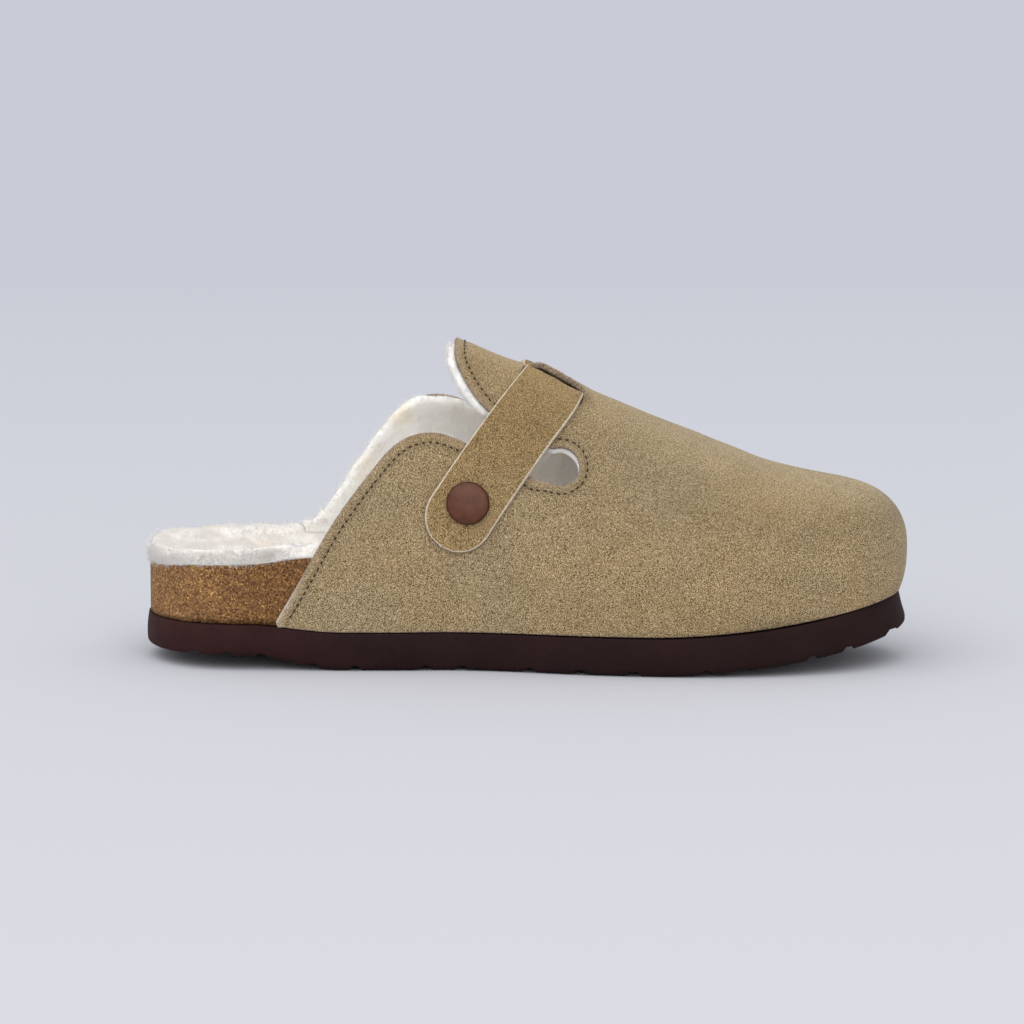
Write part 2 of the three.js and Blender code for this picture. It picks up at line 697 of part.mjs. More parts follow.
// A closed form along the last, moved in from its surface by a depth.
function lastForm(depth, start) {
  const rings = lastShares(start).map((share) => {
    const mirrored = anglesUp(share, "lateral").slice(1).reverse().map((angle) => 180 - angle);
    return [...anglesUp(share, "medial"), 90, ...mirrored].map((angle) => {
      const onLast = lastPoint(share, angle);
      const lift = angle > 0 && angle < 180 ? crownRise(onLast.x, onLast.y - centreLine(shareAt(onLast.x))) : 0;
      return onLast.addScaledVector(lastNormal(share, angle), lift - depth);
    });
  });
  return loft(rings);
}

// What is cut away behind a side wing, above it, in its notch and behind the tongue, seen from the side.
function collarTool(side, quarterHeight) {
  const edge = (rows, low, high) => {
    const setback = (row) => (side === "lateral" && low === 0 ? wingSetback * (1 - 0.5 * row.height ** 4) : 0);
    const corners = rows.map((row) => new THREE.Vector2(xAt(row.along) + setback(row), low + row.height * (high - low)));
    return new THREE.SplineCurve(corners).getPoints(rows.length * 3);
  };
  const centre = new THREE.Vector2(xAt(notchCentre.along), notchCentre.height * quarterHeight);
  const notchTop = centre.y + notchRadius * Math.sin(radians(114));
  const arcSteps = 10;
  const arc = Array.from({ length: arcSteps + 1 }, (_, i) => {
    const turn = radians(-118 + (i * 232) / arcSteps);
    return new THREE.Vector2(centre.x + notchRadius * Math.cos(turn), centre.y + notchRadius * Math.sin(turn));
  });
  const far = soleLength;
  const outline = [
    new THREE.Vector2(-far, -5),
    new THREE.Vector2(xAt(quarterEdgeRows[0].along) - 2, -5),
    ...edge(quarterEdgeRows, 0, quarterHeight),
    ...arc,
    ...edge(tongueEdgeRows, notchTop, tongueHeight),
    new THREE.Vector2(xAt(tongueEdgeRows.at(-1).along), 2 * tongueHeight),
    new THREE.Vector2(-far, 2 * tongueHeight),
  ];
  const depth = ballWidth + 2 * seam;
  const geometry = new THREE.ExtrudeGeometry(new THREE.Shape(outline), { depth, bevelEnabled: false });
  geometry.rotateX(Math.PI / 2);
  geometry.translate(0, side === "lateral" ? depth - seam : seam, 0);
  return solidFromGeometry(geometry);
}

// Everything at or below the sole's top face, as a tool.
function soleTool() {
  const steps = 40;
  const rings = Array.from({ length: steps + 1 }, (_, i) => {
    const share = 0.02 + (i / steps) * 1.03;
    const [x, z] = [xAt(share), soleTop(share) + clearance];
    return [point(x, -ballWidth, -60), point(x, -ballWidth, z), point(x, ballWidth, z), point(x, ballWidth, -60)];
  });
  return loft(rings);
}

// The opening between a slit's two lips, as wide as the strap that passes through it.
function slitTool(side) {
  const room = strapRibbon(-upperWall - 4, clearance + strapThickness + 6, slitSideRoom);
  const [inner, outer] = [slitOffset, slitOffset + slitOpening];
  const [low, high] = side === "medial" ? [-outer, -inner] : [inner, outer];
  const middle = centreLine(strapCrossing);
  return room.intersect(boxSolid(point(-soleLength, middle + low, 0), point(soleLength, middle + high, 2 * tongueHeight)));
}

function makeUpper() {
  const shell = lastForm(0, 0.14).subtract(lastForm(upperWall, 0.12));
  return [
    soleTool(),
    collarTool("medial", quarterHeightMedial),
    collarTool("lateral", quarterHeightLateral),
    slitTool("medial"),
    slitTool("lateral"),
    rivetHole("medial"),
    rivetHole("lateral"),
  ].reduce((solid, tool) => solid.subtract(tool), shell);
}

// Materials and the assembled shoe
const materials = {
  suede: new THREE.MeshStandardMaterial({ color: 0xa8946d, roughness: 0.95, metalness: 0 }),
  strapSuede: new THREE.MeshStandardMaterial({ color: 0xa38b5c, roughness: 0.95, metalness: 0 }),
  cork: new THREE.MeshStandardMaterial({ color: 0x8e6436, roughness: 0.9, metalness: 0 }),
  foam: new THREE.MeshStandardMaterial({ color: 0x33211f, roughness: 0.75, metalness: 0 }),
  pile: new THREE.MeshStandardMaterial({ color: 0xeae5da, roughness: 1, metalness: 0 }),
  rivet: new THREE.MeshStandardMaterial({ color: 0x6b443b, roughness: 0.35, metalness: 0.3 }),
};

function meshOf(name, solid, material) {
  const data = solid.getMesh();
  const geometry = new THREE.BufferGeometry();
  geometry.setAttribute("position", new THREE.BufferAttribute(data.vertProperties, data.numProp));
  geometry.setIndex(new THREE.BufferAttribute(data.triVerts, 1));
  const mesh = new THREE.Mesh(geometry, material);
  mesh.name = name;
  return mesh;
}

const clog = new THREE.Group();
clog.add(
  meshOf("outsole", makeOutsole(), materials.foam),
  meshOf("footbed", makeFootbed(), materials.cork),
  meshOf("insole", makeInsole(), materials.pile),
  meshOf("upper", makeUpper(), materials.suede),
  meshOf("strap", makeStrap(), materials.strapSuede),
);
const rivetSolid = makeRivet();
for (const side of ["medial", "lateral"]) {
  const { seat, turn } = rivetFrame(side);
  const rivet = meshOf(`rivet_${side}`, rivetSolid, materials.rivet);
  rivet.position.copy(seat);
  rivet.quaternion.copy(turn);
  clog.add(rivet);
}

export default clog;
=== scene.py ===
"""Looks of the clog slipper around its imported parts. Lengths are in millimetres until a mesh is made."""

import math

import bpy
import numpy as np
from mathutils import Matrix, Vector


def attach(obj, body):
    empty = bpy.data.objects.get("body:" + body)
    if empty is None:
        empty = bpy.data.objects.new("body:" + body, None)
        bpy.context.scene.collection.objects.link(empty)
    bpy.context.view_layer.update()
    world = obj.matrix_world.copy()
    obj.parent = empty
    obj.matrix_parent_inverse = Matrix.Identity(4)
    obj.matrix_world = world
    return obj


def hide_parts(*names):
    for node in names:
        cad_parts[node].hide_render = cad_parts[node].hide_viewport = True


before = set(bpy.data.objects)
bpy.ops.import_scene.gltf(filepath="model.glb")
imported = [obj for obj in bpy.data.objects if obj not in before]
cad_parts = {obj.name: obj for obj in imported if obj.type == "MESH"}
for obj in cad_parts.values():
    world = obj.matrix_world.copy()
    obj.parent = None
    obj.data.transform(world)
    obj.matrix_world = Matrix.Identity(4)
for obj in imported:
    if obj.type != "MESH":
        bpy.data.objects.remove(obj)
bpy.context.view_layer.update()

# Main sizes of the shoe, the same as the solids have
SOLE_LENGTH = 264.0
BALL_WIDTH = 96.0
HEEL_WIDTH = 69.0
TONGUE_HEIGHT = 110.7
WING_HEIGHT = {"medial": 81.7, "lateral": 87.3}
TOE_TIP_HEIGHT = 40.0
CLEARANCE = 0.3

SOLE_THICKNESS = 13.0
TOE_SPRING = 12.5
HEEL_LIFT = 4.6
HEEL_TOP_LIFT = 2.6
SOLE_BULGE = 0.7
SOLE_EDGE_ROUND = 2.4
SOLE_TOE_LEAN = 2.9
SOLE_HEEL_LEAN = 0.6
TOE_SWING = 8.0
SPRING_START = 0.655
SPRING_POWER = 1.9
LIFT_START = 0.26
LIFT_RUN = 0.125

GROOVE_DEPTH = 1.8
GROOVE_WIDTH = 4.6
WAVE_HEIGHT = 2.4
WAVE_COUNT = 2
GROOVE_SHARES = [
    0.07, 0.114, 0.159, 0.225, 0.281, 0.372, 0.419, 0.505,
    0.568, 0.636, 0.729, 0.777, 0.869, 0.919, 0.982,
]

FOOTBED_HEEL_INSET = 0.6
INSOLE_THICKNESS = 6.0
INSOLE_EDGE_TAPER = 0.2
INSOLE_END_TAPER = 0.03
HEEL_RIM_HEIGHT = 36.5
CUP_POWER = 3.2

UPPER_WALL = 2.0
UPPER_PROUD = 0.5
UPPER_TOE_PROUD = 2.9
WING_SETBACK = 3.4
NOTCH_RADIUS = 6.3
NOTCH_CENTRE = {"along": 0.5445, "height": 0.869}

STRAP_WIDTH = 23.8
STRAP_THICKNESS = 2.0
STRAP_CROSSING = 0.544
STRAP_SWEEP = 31.2
STRAP_SWEEP_POWER = 1.8
STRAP_TAIL = 17.6
RIVET_HEIGHT = 58.0
SLIT_OFFSET = 9.5
SLIT_LIFT = 1.0
RIVET_CAP_RADIUS = 7.4
RIVET_CAP_HEIGHT = 2.4
RIVET_SHANK_RADIUS = 2.0
WASHER_RADIUS = 4.6
WASHER_THICKNESS = 1.0
WASHER_SEAT = 0.5

# Each row: along, medial, lateral
OUTLINE_ROWS = [
    (0.0, 0.0, 0.0),
    (0.12, 0.0, 0.0),
    (0.235, 0.07, 0.18),
    (0.33, 0.09, 0.38),
    (0.405, 0.04, 0.56),
    (0.48, 0.25, 0.76),
    (0.547, 0.58, 0.91),
    (0.615, 0.84, 1.0),
    (0.67, 0.97, 1.0),
    (0.71, 1.0, 1.0),
    (1.0, 1.0, 1.0),
]
TOE_ROUNDING = {"medial": (0.67, 2.55), "lateral": (0.615, 2.3)}  # start, power
HEEL_ROUNDING = (0.13, 2.2)

# Each row: along, top, widest, depth, lean
SECTION_ROWS = [
    (0.12, 1.125, 0.26, 0.36, 0.06),
    (0.27, 1.085, 0.265, 0.36, 0.06),
    (0.409, 1.0, 0.285, 0.36, -0.02),
    (0.466, 0.943, 0.295, 0.36, -0.05),
    (0.52, 0.898, 0.3, 0.35, -0.06),
    (0.598, 0.821, 0.31, 0.34, -0.07),
    (0.677, 0.7425, 0.318, 0.32, -0.08),
    (0.756, 0.672, 0.325, 0.29, -0.08),
    (0.808, 0.62, 0.33, 0.26, -0.1),
    (0.861, 0.588, 0.335, 0.235, -0.12),
    (0.913, 0.568, 0.341, 0.22, -0.12),
    (1.0, 0.548, 0.352, 0.217, -0.12),
]
CAP_START = 0.879
CAP_POWER = 3.4
CAP_ROOT = 2.2
LOWER_TUCK = 0.2

# Each row: along, height as a share of the wing's height
WING_EDGE_ROWS = [
    (0.161, 0.12),
    (0.172, 0.19),
    (0.2045, 0.372),
    (0.243, 0.592),
    (0.2695, 0.719),
    (0.2955, 0.828),
    (0.317, 0.912),
    (0.336, 0.964),
    (0.3555, 0.992),
    (0.375, 1.0),
    (0.395, 0.991),
    (0.42, 0.96),
    (0.451, 0.911),
    (0.485, 0.857),
    (0.513, 0.811),
]

# Each row: along, height as a share of the way from the notch to the tip of the tongue
TONGUE_EDGE_ROWS = [
    (0.52, 0.035),
    (0.485, 0.198),
    (0.449, 0.37),
    (0.432, 0.519),
    (0.419, 0.675),
    (0.411, 0.805),
    (0.408, 0.906),
    (0.409, 1.016),
    (0.412, 1.195),
]

# Each row: along, medial, lateral, floor
FOOTBED_ROWS = [
    (0.0, 0.925, 0.925, 0.925),
    (0.02, 0.94, 0.94, 0.86),
    (0.05, 0.97, 0.95, 0.74),
    (0.09, 0.99, 0.96, 0.65),
    (0.14, 1.0, 0.97, 0.62),
    (0.215, 1.065, 0.97, 0.62),
    (0.33, 1.07, 0.92, 0.66),
    (0.44, 0.95, 0.86, 0.64),
    (0.55, 0.84, 0.8, 0.6),
    (0.68, 0.77, 0.77, 0.58),
    (0.83, 0.8, 0.8, 0.63),
    (0.93, 0.84, 0.84, 0.7),
    (0.975, 0.86, 0.86, 0.79),
    (1.0, 0.87, 0.87, 0.87),
]

# Sizes of what only shows, and those in which it differs from the solids
GRID = 1.25  # spacing of the upper's mesh
FOOTBED_TOE_X = 124.9  # 0.1 mm short of the toe end that the solid works out
SLIT_OPENING = 5.4
BRIDGE_RISE = 0.9  # lower and softer than in the solids, as the photo shows it
BRIDGE_TILT = 0.3
BRIDGE_FADE = 6.5
BRIDGE_FLAT = 6.5
EDGE_ROUND = 0.6  # rounding of a cut suede edge
LINING_THICKNESS = 4.0
LINING_GAP = 0.3
LINING_PROUD = {"lateral": (2.2, 1.3), "medial": (0.2, 0.5), "tongue": 1.4}  # beyond the suede edge
PILE_ROUND = 2.0  # rounding of the insole's free rim at the heel
PILE_OVERHANG = 0.1
PILE_EXTRA = 1.6  # more pile where the heel of the insole is bare
PILE_BARE_FROM, PILE_BARE_RUN = -92, 12
LINING_SUNK = 3.6  # how far the lining reaches into the pile of the insole
LINING_FLARE = 20.0  # how much further back the lateral lining reaches at the height of the heel's rim
LINING_FLARE_HEIGHT = 3.5
PILE_LUMPS_FROM = -86  # behind this the lumps of the insole are larger
PILE_LUMPS_REAR = 1.35
LINING_REAR_X = -38.0  # behind this a wing has the first number of its pair, and forward of it the second
SLIT_SLANT = 0.33  # a slit lies this much further from the ridge for each millimetre forward
SLIT_NECK = 0.9  # how much shorter a slit is than the strap is wide
STRAP_NECK = 1.5  # how much narrower the strap is in the slit
STRAP_NECK_RUN = 8.0
LIP_CURL = 2.6  # the medial slit's edge on the bridge stands this much higher
LIP_REACH = 4.5
STRAP_FAR_RUN = 4.2  # the strap dips this much further out on the lateral side
STITCH_LENGTH = 1.35
STITCH_PITCH = 2.4
STITCH_RADIUS = 0.27
STITCH_INSET = {"wing": 3.5, "notch": 2.9, "tongue": 3.2}


# Small helpers
def smooth_step(value):
    t = np.clip(value, 0, 1)
    return t * t * (3 - 2 * t)


def x_at(share):
    return (share - 0.5) * SOLE_LENGTH


def share_at(x):
    return x / SOLE_LENGTH + 0.5


def unit(vectors):
    return vectors / np.maximum(np.linalg.norm(vectors, axis=-1, keepdims=True), 1e-12)


def smooth_column(rows, column):
    """A smooth function of the share along, through one column of a table."""
    table = np.array(rows, float)
    x, v = table[:, 0], table[:, column]
    steps = np.diff(v) / np.diff(x)
    slopes = np.concatenate([[steps[0]], (steps[:-1] + steps[1:]) / 2, [steps[-1]]])

    def value(share):
        share = np.asarray(share, float)
        i = np.clip(np.searchsorted(x, share) - 1, 0, len(x) - 2)
        h = x[i + 1] - x[i]
        t = np.clip((share - x[i]) / h, 0, 1)
        rise = (v[i + 1] - v[i]) * (3 - 2 * t) * t * t
        inside = v[i] + rise + h * t * (1 - t) * (slopes[i] * (1 - t) - slopes[i + 1] * t)
        before = slopes[0] * np.minimum(share - x[0], 0)
        after = slopes[-1] * np.maximum(share - x[-1], 0)
        return inside + before + after

    return value


def round_off(t, power, root=2.0):
    return np.maximum(0, 1 - np.clip(t, 0, 1) ** power) ** (1 / root)


def make_noise(seed):
    """Smooth noise in space, from -1 to 1, with lumps of about one unit."""
    table = np.random.default_rng(seed).random((32, 32, 32)) * 2 - 1

    def noise(points):
        low = np.floor(points).astype(int)
        t = points - low
        t = t * t * (3 - 2 * t)
        total = np.zeros(points.shape[:-1])
        for dx in (0, 1):
            for dy in (0, 1):
                for dz in (0, 1):
                    corner = table[(low[..., 0] + dx) % 32, (low[..., 1] + dy) % 32, (low[..., 2] + dz) % 32]
                    weight = np.where(dx, t[..., 0], 1 - t[..., 0])
                    weight = weight * np.where(dy, t[..., 1], 1 - t[..., 1])
                    total += corner * weight * np.where(dz, t[..., 2], 1 - t[..., 2])
        return total

    return noise


# Plan outline and side profiles
width_share = {"medial": smooth_column(OUTLINE_ROWS, 1), "lateral": smooth_column(OUTLINE_ROWS, 2)}
SOLE_TOP_ENDS = (x_at(0) + SOLE_HEEL_LEAN, x_at(1) - SOLE_TOE_LEAN)
LAST_ENDS = (x_at(0), SOLE_TOP_ENDS[1] + UPPER_TOE_PROUD)
FOOTBED_ENDS = (SOLE_TOP_ENDS[0] + FOOTBED_HEEL_INSET, FOOTBED_TOE_X)


def half_width(side, share, along, inset):
    full = (HEEL_WIDTH + (BALL_WIDTH - HEEL_WIDTH) * width_share[side](along)) / 2 - inset
    start, power = TOE_ROUNDING[side]
    toe_end = round_off((share - start) / (1 - start), power)
    heel_end = round_off((HEEL_ROUNDING[0] - share) / HEEL_ROUNDING[0], HEEL_ROUNDING[1])
    return full * toe_end * heel_end


def centre_line(along):
    start = TOE_ROUNDING["lateral"][0]
    return -TOE_SWING * np.clip((along - start) / (1 - start), 0, 1) ** 2


def level_at(share, ends, inset):
    """x, middle, medial edge and lateral edge of a level."""
    x = ends[0] + (ends[1] - ends[0]) * share
    along = share_at(x)
    middle = centre_line(along)
    medial = middle - half_width("medial", share, along, inset)
    lateral = middle + half_width("lateral", share, along, inset)
    return x, middle, medial, lateral


def sole_rise(share, heel_rise):
    toe = np.clip((share - SPRING_START) / (1 - SPRING_START), 0, 1) ** SPRING_POWER
    return TOE_SPRING * toe + heel_rise * smooth_step((LIFT_START - share) / LIFT_RUN)


def sole_bottom(share):
    return sole_rise(share, HEEL_LIFT)


def sole_top(share):
    return SOLE_THICKNESS + sole_rise(share, HEEL_TOP_LIFT)


# The last
section_top = smooth_column(SECTION_ROWS, 1)
section_widest = smooth_column(SECTION_ROWS, 2)
section_depth = smooth_column(SECTION_ROWS, 3)
section_lean = smooth_column(SECTION_ROWS, 4)


def across_share(sine, is_above, lean):
    cosine = np.sqrt(np.maximum(0, 1 - sine**2))
    return np.where(is_above, cosine * (1 - lean * sine**2), cosine**LOWER_TUCK)


def section_at(share):
    close = round_off((share - CAP_START) / (1 - CAP_START), CAP_POWER, CAP_ROOT)
    widest = TOE_TIP_HEIGHT + (section_widest(share) * TONGUE_HEIGHT - TOE_TIP_HEIGHT) * close
    top = TOE_TIP_HEIGHT + (section_top(share) * TONGUE_HEIGHT - TOE_TIP_HEIGHT) * close
    drop = section_depth(share) * TONGUE_HEIGHT * close
    return widest, top - widest, drop, section_lean(share)


def share_of_last(x):
    return (x - LAST_ENDS[0]) / (LAST_ENDS[1] - LAST_ENDS[0])


def last_point(share, angle):
    """A point of the upper's outer form. The angle runs from the medial side (0) over the ridge (90)."""
    share, angle = np.broadcast_arrays(np.asarray(share, float), np.asarray(angle, float))
    x, middle, medial, lateral = level_at(share, LAST_ENDS, -UPPER_PROUD)
    widest, rise, drop, lean = section_at(share)
    sine, cosine = np.sin(np.radians(angle)), np.cos(np.radians(angle))
    edge = np.where(cosine > 0, medial, lateral)
    reach = across_share(np.abs(sine), sine >= 0, lean)
    height = widest + sine * np.where(sine >= 0, rise, drop)
    return np.stack([x, middle + (edge - middle) * reach, height], -1)


def last_normal(share, angle):
    share, angle = np.broadcast_arrays(np.asarray(share, float), np.asarray(angle, float))
    ds, da = 0.0004, 0.05
    along = last_point(np.minimum(share + ds, 1), angle) - last_point(share - ds, angle)
    around = last_point(share, angle + da) - last_point(share, angle - da)
    normal = unit(np.cross(along, around))
    return np.where((share > 0.9995)[..., None], np.array([1.0, 0.0, 0.0]), normal)


def angle_toward(share, y, z):
    """The section's angle where a point at y and z looks out from the section's middle."""
    _, middle, _, _ = level_at(share, LAST_ENDS, -UPPER_PROUD)
    widest = section_at(share)[0]

    def bearing(y_at, z_at):
        turn = np.arctan2(z_at - widest, middle - y_at)
        return np.where(turn < -math.pi / 2, turn + 2 * math.pi, turn)

    target = bearing(y, z)
    low, high = np.full(share.shape, -80.0), np.full(share.shape, 260.0)
    for _ in range(34):
        between = (low + high) / 2
        p = last_point(share, between)
        is_below = bearing(p[..., 1], p[..., 2]) < target
        low, high = np.where(is_below, between, low), np.where(is_below, high, between)
    return (low + high) / 2


def angle_at_height(share, z, side):
    """The section's angle at a height on one side."""
    widest, rise, drop, _ = section_at(share)
    sine = np.where(z >= widest, (z - widest) / np.maximum(rise, 1e-6), (z - widest) / np.maximum(drop, 1e-6))
    angle = np.degrees(np.arcsin(np.clip(sine, -1, 1)))
    return angle if side == "medial" else 180 - angle


# Strap and bridge
STRAP_CROSSING_X = x_at(STRAP_CROSSING)
RIVET_ANGLE = float(angle_at_height(share_of_last(STRAP_CROSSING_X - STRAP_SWEEP), RIVET_HEIGHT, "medial"))


def lip_offset(x):
    """How far the slit's edge on the bridge lies from the ridge."""
    return SLIT_OFFSET + SLIT_SLANT * np.clip(x - SLIT_CENTRE_X, -12, 12)


def crown_lift(x, off_ridge):
    off = np.abs(off_ridge)
    lip = lip_offset(x)
    outer = 1 - smooth_step((off - lip) / 3)
    return SLIT_LIFT * np.where(off <= lip, (off / lip) ** 2, outer) * (off_ridge < 0)


def bridge_lift(x, off_ridge):
    sideways = 1 - smooth_step((np.abs(off_ridge) - lip_offset(x)) / 3)
    return sideways * (1 - BRIDGE_TILT * (x - STRAP_CROSSING_X) / BRIDGE_FLAT) * BRIDGE_RISE


def crown_rise(x, off_ridge):
    near = 1 - smooth_step((np.abs(x - STRAP_CROSSING_X) - BRIDGE_FLAT) / BRIDGE_FADE)
    return near * (bridge_lift(x, off_ridge) + crown_lift(x, off_ridge))


def lip_curl(x, off_ridge):
    """How much further the suede stands up towards the slit's edge."""
    past = -off_ridge - lip_offset(x)
    along = np.clip(1 - (np.abs(x - SLIT_CENTRE_X) / (STRAP_WIDTH / 2)) ** 4, 0, 1)
    across = np.where(past < 0, np.exp(-((past / LIP_REACH) ** 2)), 1 - smooth_step(past / 3))
    return LIP_CURL * along * across


def strap_rise(x, off_ridge, rise):
    past = np.abs(off_ridge) - lip_offset(x) - np.where(off_ridge > 0, STRAP_FAR_RUN, 0)
    inside = 1 - smooth_step((past + 1.1) / 2.4)
    dip = UPPER_WALL + STRAP_THICKNESS + 3 * CLEARANCE
    return rise + inside * (crown_rise(x, off_ridge) - dip)


def strap_centre_x(angle):
    away = np.abs(90 - angle) / (90 - RIVET_ANGLE)
    return STRAP_CROSSING_X - STRAP_SWEEP * away**STRAP_SWEEP_POWER


def on_centre(angle):
    return last_point(share_of_last(strap_centre_x(angle)), angle)


slit_angles = np.linspace(20, 90, 400)
slit_offsets = centre_line(STRAP_CROSSING) - on_centre(slit_angles)[:, 1]


def strap_centre_at(off_ridge):
    return strap_centre_x(np.interp(np.abs(off_ridge), slit_offsets[::-1], slit_angles[::-1]))


SLIT_CENTRE_X = float(strap_centre_at(SLIT_OFFSET))


def strap_point(angle, across, rise):
    """A point of the strap: angle along its centre line, across its width, rise off the last."""
    angle, across, rise = np.broadcast_arrays(*(np.asarray(v, float) for v in (angle, across, rise)))
    tangent = unit(on_centre(angle + 0.5) - on_centre(angle - 0.5))
    normal = last_normal(share_of_last(strap_centre_x(angle)), angle)
    sideways = unit(np.cross(tangent, normal))
    flat = on_centre(angle) + sideways * across[..., None]
    share = share_of_last(flat[..., 0])
    around = angle_toward(share, flat[..., 1], flat[..., 2])
    foot = last_point(share, around)
    off = foot[..., 1] - centre_line(share_at(foot[..., 0]))
    lift = strap_rise(foot[..., 0], off, rise)
    return foot + last_normal(share, around) * lift[..., None]


def strap_lengths():
    """Lengths along the strap's centre line, and the angles there."""
    angles = np.arange(-60, 90.01, 0.1)
    centre = strap_point(angles, 0, 0)
    run = np.concatenate([[0], np.cumsum(np.linalg.norm(np.diff(centre, axis=0), axis=1))])
    start = np.interp(np.interp(RIVET_ANGLE, angles, run) - STRAP_TAIL, run, angles)
    angles = np.linspace(start, 180 - start, 1500)
    centre = strap_point(angles, 0, 0)
    run = np.concatenate([[0], np.cumsum(np.linalg.norm(np.diff(centre, axis=0), axis=1))])
    return run, angles


strap_run, strap_angles = strap_lengths()


# What is cut away behind and above the wings and behind the tongue, seen from the side
def spline(corners, count):
    corners = np.array(corners, float)
    last = len(corners) - 1
    t = np.linspace(0, last, count + 1)
    i = np.minimum(np.floor(t).astype(int), last - 1)
    w = (t - i)[:, None]
    p0, p1 = corners[np.maximum(i - 1, 0)], corners[i]
    p2, p3 = corners[i + 1], corners[np.minimum(i + 2, last)]
    v0, v1 = (p2 - p0) / 2, (p3 - p1) / 2
    return (2 * p1 - 2 * p2 + v0 + v1) * w**3 + (-3 * p1 + 3 * p2 - 2 * v0 - v1) * w**2 + v0 * w + p1


def collar_edges(side):
    """The wing's edge, the notch and the tongue's edge, as lists of points in the side view."""
    height = WING_HEIGHT[side]
    setback = WING_SETBACK if side == "lateral" else 0
    wing = [(x_at(a) + setback * (1 - 0.5 * h**4), h * height) for a, h in WING_EDGE_ROWS]
    centre = np.array([x_at(NOTCH_CENTRE["along"]), NOTCH_CENTRE["height"] * height])
    notch_top = centre[1] + NOTCH_RADIUS * math.sin(math.radians(114))
    turn = np.radians(-118 + np.arange(31) * 232 / 30)
    arc = centre + NOTCH_RADIUS * np.stack([np.cos(turn), np.sin(turn)], 1)
    tongue = [(x_at(a), notch_top + h * (TONGUE_HEIGHT - notch_top)) for a, h in TONGUE_EDGE_ROWS]
    return spline(wing, 84), arc, spline(tongue, 60)


EDGES = {side: collar_edges(side) for side in ("medial", "lateral")}


def collar_outline(side):
    wing, arc, tongue = EDGES[side]
    far = SOLE_LENGTH
    start = [(-far, -5.0), (x_at(WING_EDGE_ROWS[0][0]) - 2, -5.0)]
    end = [(x_at(TONGUE_EDGE_ROWS[-1][0]), 2 * TONGUE_HEIGHT), (-far, 2 * TONGUE_HEIGHT)]
    return np.concatenate([start, wing, arc, tongue, end])


OUTLINES = {side: collar_outline(side) for side in ("medial", "lateral")}


def outside_distance(outline, points):
    """Distance to a closed outline, positive outside it."""
    a, b = outline, np.roll(outline, -1, axis=0)
    best = np.full(len(points), 1e9)
    crossings = np.zeros(len(points), int)
    for (ax, az), (bx, bz) in zip(a, b):
        dx, dz = bx - ax, bz - az
        t = ((points[:, 0] - ax) * dx + (points[:, 1] - az) * dz) / max(dx * dx + dz * dz, 1e-12)
        t = np.clip(t, 0, 1)
        best = np.minimum(best, np.hypot(points[:, 0] - ax - t * dx, points[:, 1] - az - t * dz))
        if az != bz:
            is_between = (points[:, 1] >= min(az, bz)) & (points[:, 1] < max(az, bz))
            crossings += is_between & (points[:, 0] < ax + (points[:, 1] - az) * dx / dz)
    return np.where(crossings % 2 == 1, -best, best)


def collar_field(p):
    """Distance inside the collar's edge, seen from the side."""
    flat = p[:, [0, 2]]
    field = np.empty(len(p))
    for side, chosen in (("medial", p[:, 1] <= 0), ("lateral", p[:, 1] > 0)):
        field[chosen] = outside_distance(OUTLINES[side], flat[chosen])
    return field


def sole_field(p):
    return p[:, 2] - sole_top(share_at(p[:, 0])) - CLEARANCE


def slit_field(p):
    """Distance outside both slits."""
    off = np.abs(p[:, 1] - centre_line(STRAP_CROSSING))
    side = p[:, 0] - strap_centre_at(off)
    beside = np.maximum(side - STRAP_WIDTH / 2 + SLIT_NECK, -side - STRAP_WIDTH / 2)
    beyond = np.abs(off - lip_offset(p[:, 0]) - SLIT_OPENING / 2) - SLIT_OPENING / 2
    is_on_top = p[:, 2] > WING_HEIGHT["medial"]
    return np.where(is_on_top, np.maximum(beside, beyond), 50)


def upper_field(p):
    return np.minimum(np.minimum(collar_field(p), sole_field(p)), slit_field(p))


def lining_proud(p):
    """How far the lining stands beyond the suede edge: most behind the tongue and on the lateral wing."""
    rear = 1 - smooth_step((p[:, 0] - LINING_REAR_X) / 6)
    tongue = smooth_step((p[:, 2] - 84) / 8) * smooth_step((p[:, 0] + 40) / 8)
    (lateral, lateral_top), (medial, medial_top) = LINING_PROUD["lateral"], LINING_PROUD["medial"]
    wing = np.where(p[:, 1] > 0, lateral, medial)
    top = np.where(p[:, 1] > 0, lateral_top, medial_top)
    above_rim = np.maximum(p[:, 2] - HEEL_RIM_HEIGHT, 0)
    flare = LINING_FLARE * np.exp(-above_rim / LINING_FLARE_HEIGHT) * (p[:, 1] > 0)
    return top + (wing - top + flare) * rear + (LINING_PROUD["tongue"] - top) * tongue


def lining_field(p):
    share = np.clip((p[:, 0] - FOOTBED_ENDS[0]) / (FOOTBED_ENDS[1] - FOOTBED_ENDS[0]), 0, 1)
    rim = np.where(p[:, 1] < 0, rim_share["medial"](share), rim_share["lateral"](share)) * HEEL_RIM_HEIGHT
    above = p[:, 2] - rim - INSOLE_THICKNESS * (1 - INSOLE_EDGE_TAPER) + LINING_SUNK
    return np.minimum(collar_field(p) + lining_proud(p), above)


# Footbed
rim_share = {"medial": smooth_column(FOOTBED_ROWS, 1), "lateral": smooth_column(FOOTBED_ROWS, 2)}
cup_floor_share = smooth_column(FOOTBED_ROWS, 3)
INSIDE_INSET = UPPER_WALL + 2 * CLEARANCE - UPPER_PROUD


